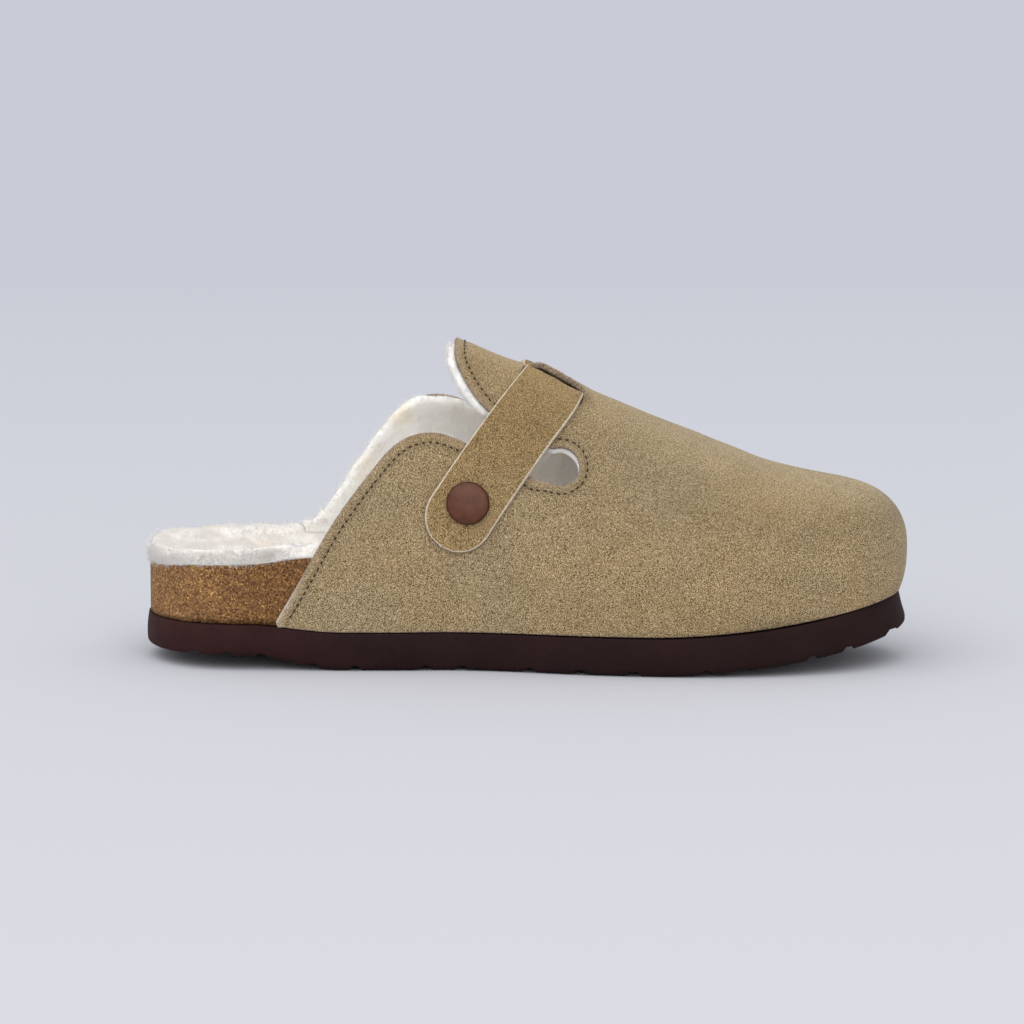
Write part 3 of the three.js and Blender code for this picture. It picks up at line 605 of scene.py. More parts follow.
def footbed_edge(share, z, grow=0.0):
    x, _, _, _ = level_at(share, FOOTBED_ENDS, 0)
    widest, rise, drop, lean = section_at(share_of_last(x))
    above = z - widest
    sine = np.minimum(0.99, np.abs(above) / np.where(above > 0, rise, drop))
    reach = across_share(sine, above > 0, lean)
    inset = INSIDE_INSET + (1 - reach) * BALL_WIDTH / 2 - grow
    return level_at(share, (FOOTBED_ENDS[0] - grow, FOOTBED_ENDS[1]), inset)


def cup_point(share, side, rise=0.0, edge_rise=0.0, grow=0.0):
    """A point of the footbed's cupped top face, or of a layer above it."""
    share, side = np.broadcast_arrays(np.asarray(share, float), np.asarray(side, float))
    rim = np.where(side < 0, rim_share["medial"](share), rim_share["lateral"](share))
    x, _, medial, lateral = footbed_edge(share, rim * HEEL_RIM_HEIGHT + edge_rise, grow)
    floor = cup_floor_share(share)
    height = HEEL_RIM_HEIGHT * (floor + (rim - floor) * np.abs(side) ** CUP_POWER)
    y = (medial + lateral) / 2 + side * (lateral - medial) / 2
    return np.stack([x, y, height + rise], -1)


# Meshes
def clean_mesh(points, triangles, materials=None):
    """Joins points that coincide and drops triangles that collapse."""
    keys = np.round(points * 1e4).astype(np.int64)
    _, first, back = np.unique(keys, axis=0, return_index=True, return_inverse=True)
    triangles = back.reshape(-1)[triangles]
    a, b, c = triangles.T
    keep = (a != b) & (b != c) & (c != a)
    return points[first], triangles[keep], None if materials is None else materials[keep]


def split_quads(quads):
    return np.concatenate([quads[:, [0, 1, 2]], quads[:, [0, 2, 3]]])


def grid_quads(rows, columns, is_closed=False):
    """Quads between the points of a grid, closed round its columns if asked."""
    i = np.arange(rows - 1)[:, None]
    j = np.arange(columns if is_closed else columns - 1)[None, :]
    k = (j + 1) % columns
    here, above = i * columns, (i + 1) * columns
    return np.stack([here + j, here + k, above + k, above + j], -1).reshape(-1, 4)


def loft(rings):
    """A closed mesh through rings of equally many points. Each end is a fan."""
    count = rings.shape[1]
    sides = split_quads(grid_quads(len(rings), count, True))
    j = np.arange(1, count - 1)
    end = (len(rings) - 1) * count
    near = np.stack([np.zeros_like(j), j + 1, j], 1)
    far = np.stack([np.full_like(j, end), end + j, end + j + 1], 1)
    return rings.reshape(-1, 3), np.concatenate([sides, near, far])


def turned_out(points, triangles):
    """The triangles, all turned over if the mesh faces inwards."""
    a, b, c = (points[triangles[:, k]] for k in range(3))
    volume = np.einsum("ij,ij->i", a, np.cross(b, c)).sum()
    return triangles if volume > 0 else triangles[:, ::-1]


def vertex_normals(points, triangles):
    a, b, c = (points[triangles[:, k]] for k in range(3))
    face = np.cross(b - a, c - a)
    total = np.zeros_like(points)
    for k in range(3):
        np.add.at(total, triangles[:, k], face)
    return unit(total)


def make_piece(name, points, triangles, materials, index=None):
    mesh = bpy.data.meshes.new(name)
    mesh.from_pydata((points / 1000).tolist(), [], triangles.tolist())
    for material in materials:
        mesh.materials.append(material)
    if index is not None:
        mesh.polygons.foreach_set("material_index", index.astype(np.int32))
    mesh.shade_smooth()
    mesh.update()
    piece = bpy.data.objects.new(name, mesh)
    bpy.context.scene.collection.objects.link(piece)
    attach(piece, "root")
    return piece


def paint(piece, *channels):
    """Keeps up to three numbers for each vertex, which the materials read: real marks such as pale cut edges,
    and painted shade.
    """
    colours = np.zeros((len(piece.data.vertices), 4), np.float32)
    for k, channel in enumerate(channels):
        colours[:, k] = channel
    piece.data.color_attributes.new("wear_and_shade", "FLOAT_COLOR", "POINT").data.foreach_set("color", colours.ravel())


def clipped(points, triangles, field):
    """Keeps the triangles where the field is positive, cut along its zero line. Gives how each new point is
    mixed from the old ones, the triangles, and the cut's edges in the triangles' own direction."""
    first = list(range(len(points)))
    second = list(range(len(points)))
    mix = [0.0] * len(points)
    cuts = {}

    def cut(a, b):
        key = (a, b) if a < b else (b, a)
        if key not in cuts:
            cuts[key] = len(first)
            first.append(key[0])
            second.append(key[1])
            mix.append(field[key[0]] / (field[key[0]] - field[key[1]]))
        return cuts[key]

    inside = field > 0
    count = inside[triangles].sum(1)
    kept = triangles[count == 3].tolist()
    border = []
    for a, b, c in triangles[count == 1].tolist():
        while not inside[a]:
            a, b, c = b, c, a
        ab, ac = cut(a, b), cut(a, c)
        kept.append([a, ab, ac])
        border.append((ab, ac))
    for a, b, c in triangles[count == 2].tolist():
        while inside[c]:
            a, b, c = b, c, a
        bc, ac = cut(b, c), cut(a, c)
        kept.append([a, b, bc])
        kept.append([a, bc, ac])
        border.append((bc, ac))
    mixing = (np.array(first), np.array(second), np.array(mix)[:, None])
    return mixing, np.array(kept), np.array(border)


def mixed(values, mixing):
    first, second, mix = mixing
    return values[first] * (1 - mix) + values[second] * mix


def outward_slope(field, points, normals):
    """The direction on the surface in which the field falls, and how steeply."""
    step = 0.05
    slope = np.stack([(field(points + d) - field(points - d)) / (2 * step) for d in np.eye(3) * step], -1)
    slope -= normals * np.einsum("ij,ij->i", slope, normals)[:, None]
    steep = np.linalg.norm(slope, axis=1)
    return -unit(slope), steep


def even_shares(start, spacing):
    """Shares of the last at even distances over its ridge and down the toe."""
    fine = np.concatenate([np.linspace(start, 0.97, 900), 1 - np.linspace(0.03**0.5, 0, 500)[1:] ** 2])
    total = 0
    for angle in (0, 45, 90, 135, 180):
        total = total + np.linalg.norm(np.diff(last_point(fine, angle), axis=0), axis=1)
    run = np.concatenate([[0], np.cumsum(total / 5)])
    return np.interp(np.linspace(0, run[-1], int(run[-1] / spacing) + 1), run, fine)


def even_angles(low, high, spacing, share=0.55):
    fine = np.linspace(low, high, 3000)
    run = np.concatenate([[0], np.cumsum(np.linalg.norm(np.diff(last_point(share, fine), axis=0), axis=1))])
    return np.interp(np.linspace(0, run[-1], int(run[-1] / spacing) + 1), run, fine)


def shell(spacing, field, surface, depths, rounds, index_of_edge=1):
    """A sheet with thickness on the last, cut along the field's zero line, with rounded edges. Depths are the
    outer and the inner face's, below the surface. Rounds are the radii of the outer and inner edge."""
    shares = even_shares(0.125, spacing)
    angles = even_angles(-90, 270, spacing)
    on, normals = surface(shares[:, None], angles[None, :])
    on, normals = on.reshape(-1, 3), normals.reshape(-1, 3)
    triangles = split_quads(grid_quads(len(shares), len(angles)))
    values = field(on)
    near = np.abs(values) < 4 * spacing
    _, steep = outward_slope(field, on[near], normals[near])
    outer, inner = depths(on)
    values[near] = values[near] / np.clip(steep, 0.25, 1.5) - rounds[0]
    mixing, triangles, border = clipped(on, triangles, values)
    on, normals = mixed(on, mixing), unit(mixed(normals, mixing))
    outer, inner = mixed(outer[:, None], mixing), mixed(inner[:, None], mixing)
    used = np.unique(triangles)
    back = np.full(len(on), -1)
    back[used] = np.arange(len(used))
    on, normals, outer, inner = on[used], normals[used], outer[used], inner[used]
    triangles, border = back[triangles], back[border]
    rim = np.unique(border)
    rim_of = np.full(len(on), -1)
    rim_of[rim] = np.arange(len(rim))
    out, _ = outward_slope(field, on[rim], normals[rim])
    turns = np.radians([15, 35, 55, 75, 90])
    layers = []
    for turn in turns:
        depth = outer[rim] + rounds[0] * (1 - math.cos(turn))
        layers.append(on[rim] + out * rounds[0] * math.sin(turn) - normals[rim] * depth)
    for turn in turns[::-1]:
        depth = inner[rim] - rounds[1] * (1 - math.cos(turn))
        reach = rounds[0] - rounds[1] * (1 - math.sin(turn))
        layers.append(on[rim] + out * reach - normals[rim] * depth)
    points = [on - normals * outer, on - normals * inner] + layers
    count = len(on)
    faces = [triangles, triangles[:, ::-1] + count]
    index = [np.zeros(len(triangles), int), np.zeros(len(triangles), int)]
    starts = [None] + [2 * count + k * len(rim) for k in range(len(layers))] + [None]
    for k in range(len(layers) + 1):
        def at(v, layer):
            if layer == 0:
                return v
            if layer == len(layers) + 1:
                return v + count
            return rim_of[v] + starts[layer]
        u, v = border.T
        quads = np.stack([at(v, k), at(u, k), at(u, k + 1), at(v, k + 1)], 1)
        faces.append(split_quads(quads))
        index.append(np.full(2 * len(quads), index_of_edge))
    points = np.concatenate(points)
    return points, turned_out(points, np.concatenate(faces)), np.concatenate(index), normals


# Materials
class Shader:
    """Builds a material's nodes. Every texture reads the object's own coordinates, in metres."""

    def __init__(self, name):
        self.material = bpy.data.materials.new(name)
        self.material.use_nodes = True
        self.tree = self.material.node_tree
        self.tree.nodes.clear()
        self.out = self.node("ShaderNodeOutputMaterial")
        self.bsdf = self.node("ShaderNodeBsdfPrincipled")
        self.link(self.bsdf.outputs[0], self.out.inputs[0])
        self.place = self.node("ShaderNodeTexCoord").outputs["Object"]

    def node(self, kind):
        return self.tree.nodes.new(kind)

    def link(self, output, socket):
        self.tree.links.new(output, socket)

    def put(self, value, socket):
        if isinstance(value, bpy.types.NodeSocket):
            self.link(value, socket)
        else:
            socket.default_value = value

    def set(self, **values):
        for name, value in values.items():
            self.put(value, self.bsdf.inputs[name.replace("_", " ")])

    def stretched(self, scale, turn=(0, 0, 0)):
        node = self.node("ShaderNodeMapping")
        self.link(self.place, node.inputs["Vector"])
        node.inputs["Scale"].default_value = scale
        node.inputs["Rotation"].default_value = turn
        return node.outputs[0]

    def painted(self, name):
        """The three channels that a mesh keeps under this name."""
        node = self.node("ShaderNodeAttribute")
        node.attribute_name = name
        split = self.node("ShaderNodeSeparateColor")
        self.link(node.outputs["Color"], split.inputs[0])
        return split.outputs[0], split.outputs[1], split.outputs[2]

    def facing_up(self):
        """How far the surface faces up, from -1 to 1."""
        split = self.node("ShaderNodeSeparateXYZ")
        self.link(self.node("ShaderNodeNewGeometry").outputs["Normal"], split.inputs[0])
        return split.outputs["Z"]

    def noise(self, size, detail=2.0, rough=0.5, place=None, distortion=0.0):
        """Noise with features of this size in millimetres."""
        node = self.node("ShaderNodeTexNoise")
        self.link(place or self.place, node.inputs["Vector"])
        node.inputs["Scale"].default_value = 1000 / size
        node.inputs["Detail"].default_value = detail
        node.inputs["Roughness"].default_value = rough
        node.inputs["Distortion"].default_value = distortion
        return node.outputs["Fac"]

    def cells(self, size, output="Color", feature="F1"):
        node = self.node("ShaderNodeTexVoronoi")
        node.feature = feature
        self.link(self.place, node.inputs["Vector"])
        node.inputs["Scale"].default_value = 1000 / size
        return node.outputs[output]

    def ramp(self, value, *stops):
        """Each stop is a place and a grey or a colour."""
        node = self.node("ShaderNodeValToRGB")
        self.link(value, node.inputs[0])
        elements = node.color_ramp.elements
        while len(elements) < len(stops):
            elements.new(0.5)
        for element, (place, colour) in zip(elements, stops):
            element.position = place
            element.color = (colour,) * 3 + (1,) if isinstance(colour, (int, float)) else (*colour, 1)
        return node.outputs[0]

    def mix(self, factor, a, b, kind="MIX"):
        node = self.node("ShaderNodeMix")
        node.data_type = "RGBA"
        node.blend_type = kind
        self.put(factor, node.inputs[0])
        for value, socket in ((a, node.inputs[6]), (b, node.inputs[7])):
            self.put((*value, 1) if isinstance(value, tuple) and len(value) == 3 else value, socket)
        return node.outputs[2]

    def sum(self, kind, a, b=0.0):
        node = self.node("ShaderNodeMath")
        node.operation = kind
        self.put(a, node.inputs[0])
        self.put(b, node.inputs[1])
        return node.outputs[0]

    def bump(self, *layers):
        """Each layer is a height, a strength and a depth in millimetres."""
        normal = None
        for height, strength, depth in layers:
            node = self.node("ShaderNodeBump")
            self.link(height, node.inputs["Height"])
            node.inputs["Strength"].default_value = strength
            node.inputs["Distance"].default_value = depth / 1000
            if normal:
                self.link(normal, node.inputs["Normal"])
            normal = node.outputs[0]
        self.link(normal, self.bsdf.inputs["Normal"])


def suede_material(name, dark, mid, light, warmth=0.0):
    m = Shader(name)
    slanted = m.stretched((1.0, 1.0, 0.75), (0.3, 0.75, 0.2))
    clumps = m.noise(0.23, 0.0, 0.5, slanted)
    fine = m.noise(0.9, 1.0, 0.5)
    grain = m.sum("ADD", m.sum("MULTIPLY", clumps, 0.88), m.sum("MULTIPLY", fine, 0.12))
    colour = m.ramp(grain, (0.35, dark), (0.5, mid), (0.65, light))
    patches = m.ramp(m.noise(14, 3.0, 0.55), (0.3, 0.94), (0.7, 1.06))
    colour = m.mix(1.0, colour, patches, "MULTIPLY")
    hue = m.ramp(m.noise(46, 2.0, 0.5), (0.35, (0.98, 1.0, 1.03)), (0.65, (1.03, 1.0, 0.94 - warmth)))
    colour = m.mix(1.0, colour, hue, "MULTIPLY")
    # Painted light and shade: the colour is scaled by how far the surface faces up, lightest where it faces
    # straight up and darkest on the slopes between.
    lit = m.ramp(m.facing_up(), (0.1, 0.98), (0.5, 0.81), (0.75, 0.86), (0.97, 1.1))
    colour = m.mix(1.0, colour, lit, "MULTIPLY")
    edge, seam, pale = m.painted("wear_and_shade")
    colour = m.mix(m.sum("MULTIPLY", edge, 0.3), colour, (0.36, 0.27, 0.18))
    colour = m.mix(m.sum("MULTIPLY", seam, 0.3), colour, (0.1, 0.065, 0.03))
    bleached = m.sum("MULTIPLY", pale, m.ramp(clumps, (0.35, 0.1), (0.65, 0.7)))
    colour = m.mix(bleached, colour, (0.62, 0.52, 0.42))
    m.set(Base_Color=colour, Roughness=0.92)
    m.set(Specular_IOR_Level=0.1, Sheen_Weight=0.16, Sheen_Roughness=0.5, Sheen_Tint=(1.0, 0.93, 0.78, 1))
    m.bump((m.noise(7, 2.0, 0.5), 0.2, 0.4), (fine, 0.3, 0.2), (clumps, 0.5, 0.16))
    return m.material


def cut_edge_material(name, dark, light):
    m = Shader(name)
    grain = m.noise(0.45, 2.0, 0.65)
    _, _, pale = m.painted("wear_and_shade")
    colour = m.ramp(grain, (0.36, dark), (0.62, light))
    colour = m.mix(m.sum("MULTIPLY", pale, 0.6), colour, (0.68, 0.58, 0.48))
    m.set(Base_Color=colour, Roughness=0.95, Specular_IOR_Level=0.1)
    m.set(Sheen_Weight=0.1, Sheen_Roughness=0.6, Sheen_Tint=(1.0, 0.95, 0.85, 1))
    m.bump((grain, 0.7, 0.4))
    return m.material


def pile_material(name):
    m = Shader(name)
    tufts = m.noise(3.0, 3.0, 0.65)
    fine = m.noise(0.8, 2.0, 0.6)
    colour = m.ramp(tufts, (0.3, (0.93, 0.9, 0.865)), (0.47, (0.955, 0.93, 0.9)), (0.7, (0.97, 0.95, 0.93)))
    hollows = m.ramp(m.noise(16, 2.0, 0.5), (0.3, (0.97, 0.91, 0.83)), (0.44, (1.0, 1.0, 1.0)))
    colour = m.mix(1.0, colour, hollows, "MULTIPLY")
    painted_deep_shade, painted_top_shade, _ = m.painted("wear_and_shade")
    # Painted shade: deep inside the shoe, away from the collar's edge, the pile is made darker and warmer for
    # the shade and warm bounce light there.
    colour = m.mix(1.0, colour, m.ramp(painted_deep_shade, (0.0, (1.01, 1.0, 0.975)), (1.0, (1.02, 0.87, 0.7))), "MULTIPLY")
    # Painted shade: the insole's pile is darkened a little everywhere and most where it faces up, to offset
    # the light falling on it from above.
    colour = m.mix(1.0, colour, m.ramp(painted_top_shade, (0.0, (1.0, 1.0, 1.0)), (1.0, (0.62, 0.6, 0.59))), "MULTIPLY")
    m.set(Base_Color=colour, Roughness=1.0, Specular_IOR_Level=0.0)
    m.set(Sheen_Weight=0.35, Sheen_Roughness=0.6, Sheen_Tint=(1.0, 0.97, 0.93, 1))
    m.set(Subsurface_Weight=0.6, Subsurface_Scale=0.002, Subsurface_Radius=(1.0, 0.9, 0.8))
    m.bump((tufts, 0.5, 1.0), (fine, 0.6, 0.35))
    return m.material


def fibre_material(name, dark, light, glow=0.0):
    """Thin fibres, which let some light through."""
    m = Shader(name)
    colour = m.ramp(m.noise(5, 2.0, 0.5), (0.3, dark), (0.6, light))
    m.set(Base_Color=colour, Roughness=0.9, Specular_IOR_Level=0.1)
    m.set(Sheen_Weight=0.25, Sheen_Roughness=0.5, Sheen_Tint=(1.0, 0.97, 0.93, 1))
    m.set(Subsurface_Weight=glow, Subsurface_Scale=0.001, Subsurface_Radius=(1.0, 0.95, 0.9))
    return m.material


def cork_material(name):
    m = Shader(name)
    grains = m.cells(0.62)
    tone = m.ramp(
        grains,
        (0.0, (0.085, 0.034, 0.015)),
        (0.35, (0.19, 0.09, 0.036)),
        (0.65, (0.27, 0.142, 0.054)),
        (0.85, (0.37, 0.2, 0.066)),
        (1.0, (0.62, 0.37, 0.11)),
    )
    grit = m.noise(0.3, 0.0, 0.5)
    specks = m.ramp(grit, (0.3, 0.45), (0.5, 0.95), (0.7, 1.75))
    colour = m.mix(1.0, tone, specks, "MULTIPLY")
    shade = m.ramp(m.noise(11, 2.0, 0.5), (0.3, 0.9), (0.7, 1.1))
    colour = m.mix(1.0, colour, shade, "MULTIPLY")
    # Painted light and shade: the cork is lighter and cooler towards the heel and darker forward, where the
    # near wing shades it.
    split = m.node("ShaderNodeSeparateXYZ")
    m.link(m.place, split.inputs[0])
    to_heel = m.sum("ADD", m.sum("MULTIPLY", split.outputs["X"], -20.0), -1.75)
    rear = m.ramp(to_heel, (0.0, (0.75, 0.72, 0.7)), (0.9, (1.08, 1.1, 1.2)))
    colour = m.mix(1.0, colour, rear, "MULTIPLY")
    m.set(Base_Color=colour, Roughness=0.85, Specular_IOR_Level=0.2)
    m.bump((m.cells(0.62, "Distance"), 0.3, 0.15), (grit, 0.5, 0.15))
    return m.material


def foam_material(name):
    m = Shader(name)
    cloud = m.noise(11, 3.0, 0.6)
    fine = m.noise(0.9, 3.0, 0.6)
    colour = m.ramp(cloud, (0.32, (0.013, 0.0033, 0.0033)), (0.68, (0.019, 0.0056, 0.0054)))
    # The sole's colour is made lighter towards the heel.
    split = m.node("ShaderNodeSeparateXYZ")
    m.link(m.place, split.inputs[0])
    lighter_to_heel = m.ramp(m.sum("ADD", m.sum("MULTIPLY", split.outputs["X"], -12.0), -0.55), (0.0, 0.95), (0.9, 1.9))
    colour = m.mix(1.0, colour, lighter_to_heel, "MULTIPLY")
    m.set(Base_Color=colour, Roughness=m.ramp(fine, (0.3, 0.7), (0.7, 0.82)), Specular_IOR_Level=0.16)
    m.bump((cloud, 0.15, 0.5), (fine, 0.35, 0.12))
    return m.material


def rivet_material(name):
    m = Shader(name)
    wear_and_shade = m.noise(3.2, 4.0, 0.6)
    colour = m.ramp(wear_and_shade, (0.32, (0.075, 0.022, 0.01)), (0.68, (0.115, 0.036, 0.016)))
    # Painted shade: the cap's outer ring is darkened for the shadow in the gap under its rim.
    radius, _, _ = m.painted("wear_and_shade")
    colour = m.mix(1.0, colour, m.ramp(radius, (0.92, 1.0), (0.98, 0.25)), "MULTIPLY")
    m.set(Base_Color=colour, Metallic=0.1, Roughness=m.ramp(wear_and_shade, (0.3, 0.3), (0.7, 0.4)))
    m.set(Specular_IOR_Level=0.3)
    m.bump((m.noise(1.1, 3.0, 0.6), 0.1, 0.08))
    return m.material


def thread_material(name):
    m = Shader(name)
    twist = m.noise(0.35, 2.0, 0.5)
    m.set(Base_Color=m.ramp(twist, (0.35, (0.012, 0.007, 0.005)), (0.7, (0.045, 0.026, 0.018))))
    m.set(Roughness=0.75, Specular_IOR_Level=0.3)
    m.bump((twist, 0.5, 0.1))
    return m.material


def floor_material(name):
    """Pale grey, a little darker towards the back."""
    m = Shader(name)
    split = m.node("ShaderNodeSeparateXYZ")
    m.link(m.place, split.inputs[0])
    back = m.sum("ADD", m.sum("MULTIPLY", split.outputs["Y"], 0.6), 0.3)
    m.set(Base_Color=m.ramp(back, (0.0, (0.605, 0.606, 0.64)), (1.0, (0.5, 0.506, 0.56))))
    m.set(Roughness=1.0, Specular_IOR_Level=0.0)
    return m.material


suede = suede_material("suede", (0.09, 0.058, 0.022), (0.265, 0.19, 0.096), (0.56, 0.43, 0.265))
strap_suede = suede_material(
    "strap_suede", (0.08, 0.047, 0.014), (0.244, 0.158, 0.069), (0.515, 0.362, 0.184), 0.03
)
# Painted shade: a near-black suede for the strap where it passes into the slits under the bridge's lip.
painted_shade_suede = suede_material(
    "painted_shade_suede", (0.006, 0.004, 0.002), (0.014, 0.009, 0.005), (0.03, 0.02, 0.01)
)
suede_edge = cut_edge_material("suede_edge", (0.1, 0.062, 0.04), (0.44, 0.33, 0.23))
strap_edge = cut_edge_material("strap_edge", (0.4, 0.31, 0.21), (0.78, 0.69, 0.56))
pile = pile_material("pile")
pile_fibre = fibre_material("pile_fibre", (0.96, 0.925, 0.88), (0.99, 0.965, 0.93), 0.5)
strap_fibre = fibre_material("strap_fibre", (0.5, 0.4, 0.29), (0.85, 0.76, 0.64))
suede_fibre = fibre_material("suede_fibre", (0.2, 0.14, 0.08), (0.5, 0.4, 0.27))
cork = cork_material("cork")
foam = foam_material("foam")
rivet_finish = rivet_material("rivet")
thread = thread_material("thread")


# Upper
# Soft creases. Each row: share and angle of one end, share and angle of the other, width, height (minus for
# a trough)
CREASE_ROWS = [
    (0.735, 62, 0.752, 88, 7.0, -0.35),
    (0.755, 92, 0.742, 118, 6.0, -0.3),
    (0.772, 58, 0.785, 90, 6.0, 0.25),
    (0.66, 20, 0.7, 44, 8.0, -0.3),
    (0.695, 16, 0.73, 38, 7.0, 0.22),
    (0.66, 160, 0.71, 136, 8.0, -0.3),
    (0.33, 8, 0.42, 26, 9.0, -0.35),
    (0.36, 170, 0.44, 150, 9.0, -0.3),
    (0.56, 6, 0.63, 10, 6.0, 0.2),
    (0.86, 20, 0.9, 50, 6.0, -0.18),
]


def base_surface(share, angle):
    flat = last_point(share, angle)
    normal = last_normal(share, angle)
    off = flat[..., 1] - centre_line(share_at(flat[..., 0]))
    is_up = (angle > 0) & (angle < 180)
    lift = np.where(is_up, crown_rise(flat[..., 0], off), 0)
    return flat + normal * lift[..., None], normal


def distance_to_line(points, line):
    best = np.full(len(points), 1e9)
    for a, b in zip(line[:-1], line[1:]):
        d = b - a
        t = np.clip(((points - a) @ d) / max(d @ d, 1e-9), 0, 1)
        best = np.minimum(best, np.linalg.norm(points - a - t[:, None] * d, axis=1))
    return best


def stitch_path():
    """The stitch line from the medial wing round its notch, over the tongue and down the lateral wing."""
    halves = []
    for side in ("medial", "lateral"):
        line, insets = [], []
        for edge, inset in zip(EDGES[side], STITCH_INSET.values()):
            line.append(edge)
            insets.append(np.full(len(edge), inset))
        line, insets = np.concatenate(line), np.concatenate(insets)
        share = share_of_last(line[:, 0])
        widest, rise, _, _ = section_at(share)
        fits = line[:, 1] < widest + rise * 0.985
        share, line, insets = share[fits], line[fits], insets[fits]
        on, normal = base_surface(share, angle_at_height(share, line[:, 1], side))
        out, _ = outward_slope(collar_field, on, normal)
        halves.append(on - out * insets[:, None])
    path = np.concatenate([halves[0], halves[1][::-1]])
    run = np.concatenate([[0], np.cumsum(np.linalg.norm(np.diff(path, axis=0), axis=1))])
    even = np.arange(0, run[-1], 0.4)
    path = np.stack([np.interp(even, run, path[:, k]) for k in range(3)], 1)
    soft = np.ones(7) / 7
    path = np.stack([np.convolve(np.pad(path[:, k], 3, mode="edge"), soft, "valid") for k in range(3)], 1)
    share = share_of_last(path[:, 0])
    on, normal = base_surface(share, angle_toward(share, path[:, 1], path[:, 2]))
    above = on[:, 2] > sole_top(share_at(on[:, 0])) + 2.2
    return on[above], normal[above]


stitch_line, stitch_normals = stitch_path()


def upper_surface(share, angle):
    on, normal = base_surface(share, angle)
    flat = on.reshape(-1, 3)
    lift = np.zeros(len(flat))
    for a_share, a_angle, b_share, b_angle, width, height in CREASE_ROWS:
        line = last_point(np.linspace(a_share, b_share, 5), np.linspace(a_angle, b_angle, 5))
        lift += height * np.exp(-((distance_to_line(flat, line) / width) ** 2))
    lift -= 0.24 * np.exp(-((distance_to_line(flat, stitch_line[::4]) / 0.95) ** 2))
    off = flat[:, 1] - centre_line(STRAP_CROSSING)
    lift += np.where(flat[:, 2] > WING_HEIGHT["medial"], lip_curl(flat[:, 0], off), 0)
    return on + normal * lift.reshape(on.shape[:-1])[..., None], normal


def upper_depths(p):
    return np.zeros(len(p)), np.full(len(p), UPPER_WALL)


points, triangles, index, _ = shell(GRID, upper_field, upper_surface, upper_depths, (EDGE_ROUND, 0.5))
upper_points, upper_triangles, upper_index = clean_mesh(points, triangles, index)
upper = make_piece("upper_suede", upper_points, upper_triangles, [suede, suede_edge], upper_index)
to_edge = np.maximum(collar_field(upper_points), 0)
to_seam = distance_to_line(upper_points, stitch_line[::4])
low_rear = smooth_step((38 - upper_points[:, 2]) / 18) * smooth_step((-55 - upper_points[:, 0]) / 15)
near_seam = np.exp(-((to_seam / 1.0) ** 2))
paint(upper, np.exp(-to_edge / 1.3), near_seam, low_rear * np.exp(-((to_edge / 1.5) ** 2)))
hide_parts("upper")


# Lining of the upper
def lining_depths(p):
    """Below the bridge the lining lies deeper, so that the strap passes between it and the suede."""
    off = np.abs(p[:, 1] - centre_line(STRAP_CROSSING))
    beside = 1 - smooth_step((np.abs(p[:, 0] - STRAP_CROSSING_X + 1) - STRAP_WIDTH / 2) / 7)
    over = 1 - smooth_step((off - SLIT_OFFSET - SLIT_OPENING) / 6)
    is_on_top = p[:, 2] > WING_HEIGHT["medial"]
    tunnel = (STRAP_THICKNESS + 2 * CLEARANCE) * beside * over * is_on_top
    outer = UPPER_WALL + LINING_GAP + tunnel
    return outer, outer + LINING_THICKNESS


pile_lumps = [(make_noise(11), 5.5, 0.6), (make_noise(12), 2.6, 0.2)]


def ruffled(points, triangles, amount):
    normals = vertex_normals(points, triangles)
    lift = sum(height * noise(points / size + 40) for noise, size, height in pile_lumps)
    return points + normals * (lift * amount)[:, None]


points, triangles, index, sheet = shell(1.5, lining_field, base_surface, lining_depths, (1.9, 1.9), 0)
amount = np.ones(len(points))
amount[: len(sheet)] = 0
points = ruffled(points, triangles, amount)
lining_points, lining_triangles, _ = clean_mesh(points, triangles)
lining = make_piece("upper_lining", lining_points, lining_triangles, [pile])
# The first channel is painted shade for the pile deep inside the shoe, growing away from the collar's edge.
paint(lining, smooth_step((collar_field(lining_points) - 13) / 12))


# Insole
def station_shares(count):
    even = np.arange(count + 1) / count
    return even * 0.5 + (1 - np.cos(math.pi * even)) / 2 * 0.5


def insole_rings():
    shares = station_shares(170)
    x = FOOTBED_ENDS[0] + (FOOTBED_ENDS[1] - FOOTBED_ENDS[0]) * shares
    free = 1 - smooth_step((x - PILE_BARE_FROM) / PILE_BARE_RUN)
    extra = PILE_EXTRA * free
    to_end = np.clip(1 - np.minimum(shares, 1 - shares) / INSOLE_END_TAPER, 0, 1)
    edge_top = CLEARANCE + INSOLE_THICKNESS * (1 - INSOLE_EDGE_TAPER) - PILE_ROUND * free + extra
    columns = []
    for side in np.linspace(-1, 1, 25):
        columns.append(cup_point(shares, side, CLEARANCE, 0.0, 0.0))
    turns = np.radians(np.linspace(-70, 70, 7))
    for turn in turns:
        rise = CLEARANCE + (edge_top - CLEARANCE) * (1 + math.sin(turn)) / 2
        columns.append(cup_point(shares, 1, rise, rise, PILE_OVERHANG * math.cos(turn) * free))
    for side in np.sin(np.linspace(90, -90, 81) * math.pi / 180):
        edge = np.maximum(abs(side) ** 9, to_end**2)
        rounding = 1 - np.sqrt(1 - np.maximum(np.clip((abs(side) - 0.88) / 0.12, 0, 1), to_end) ** 2)
        thickness = INSOLE_THICKNESS * (1 - INSOLE_EDGE_TAPER * edge)
        rise = CLEARANCE + thickness - PILE_ROUND * rounding * free + extra
        columns.append(cup_point(shares, side, rise, edge_top, 0.0))
    for turn in turns[::-1]:
        rise = CLEARANCE + (edge_top - CLEARANCE) * (1 + math.sin(turn)) / 2
        columns.append(cup_point(shares, -1, rise, rise, PILE_OVERHANG * math.cos(turn) * free))
    return np.stack(columns, 1)


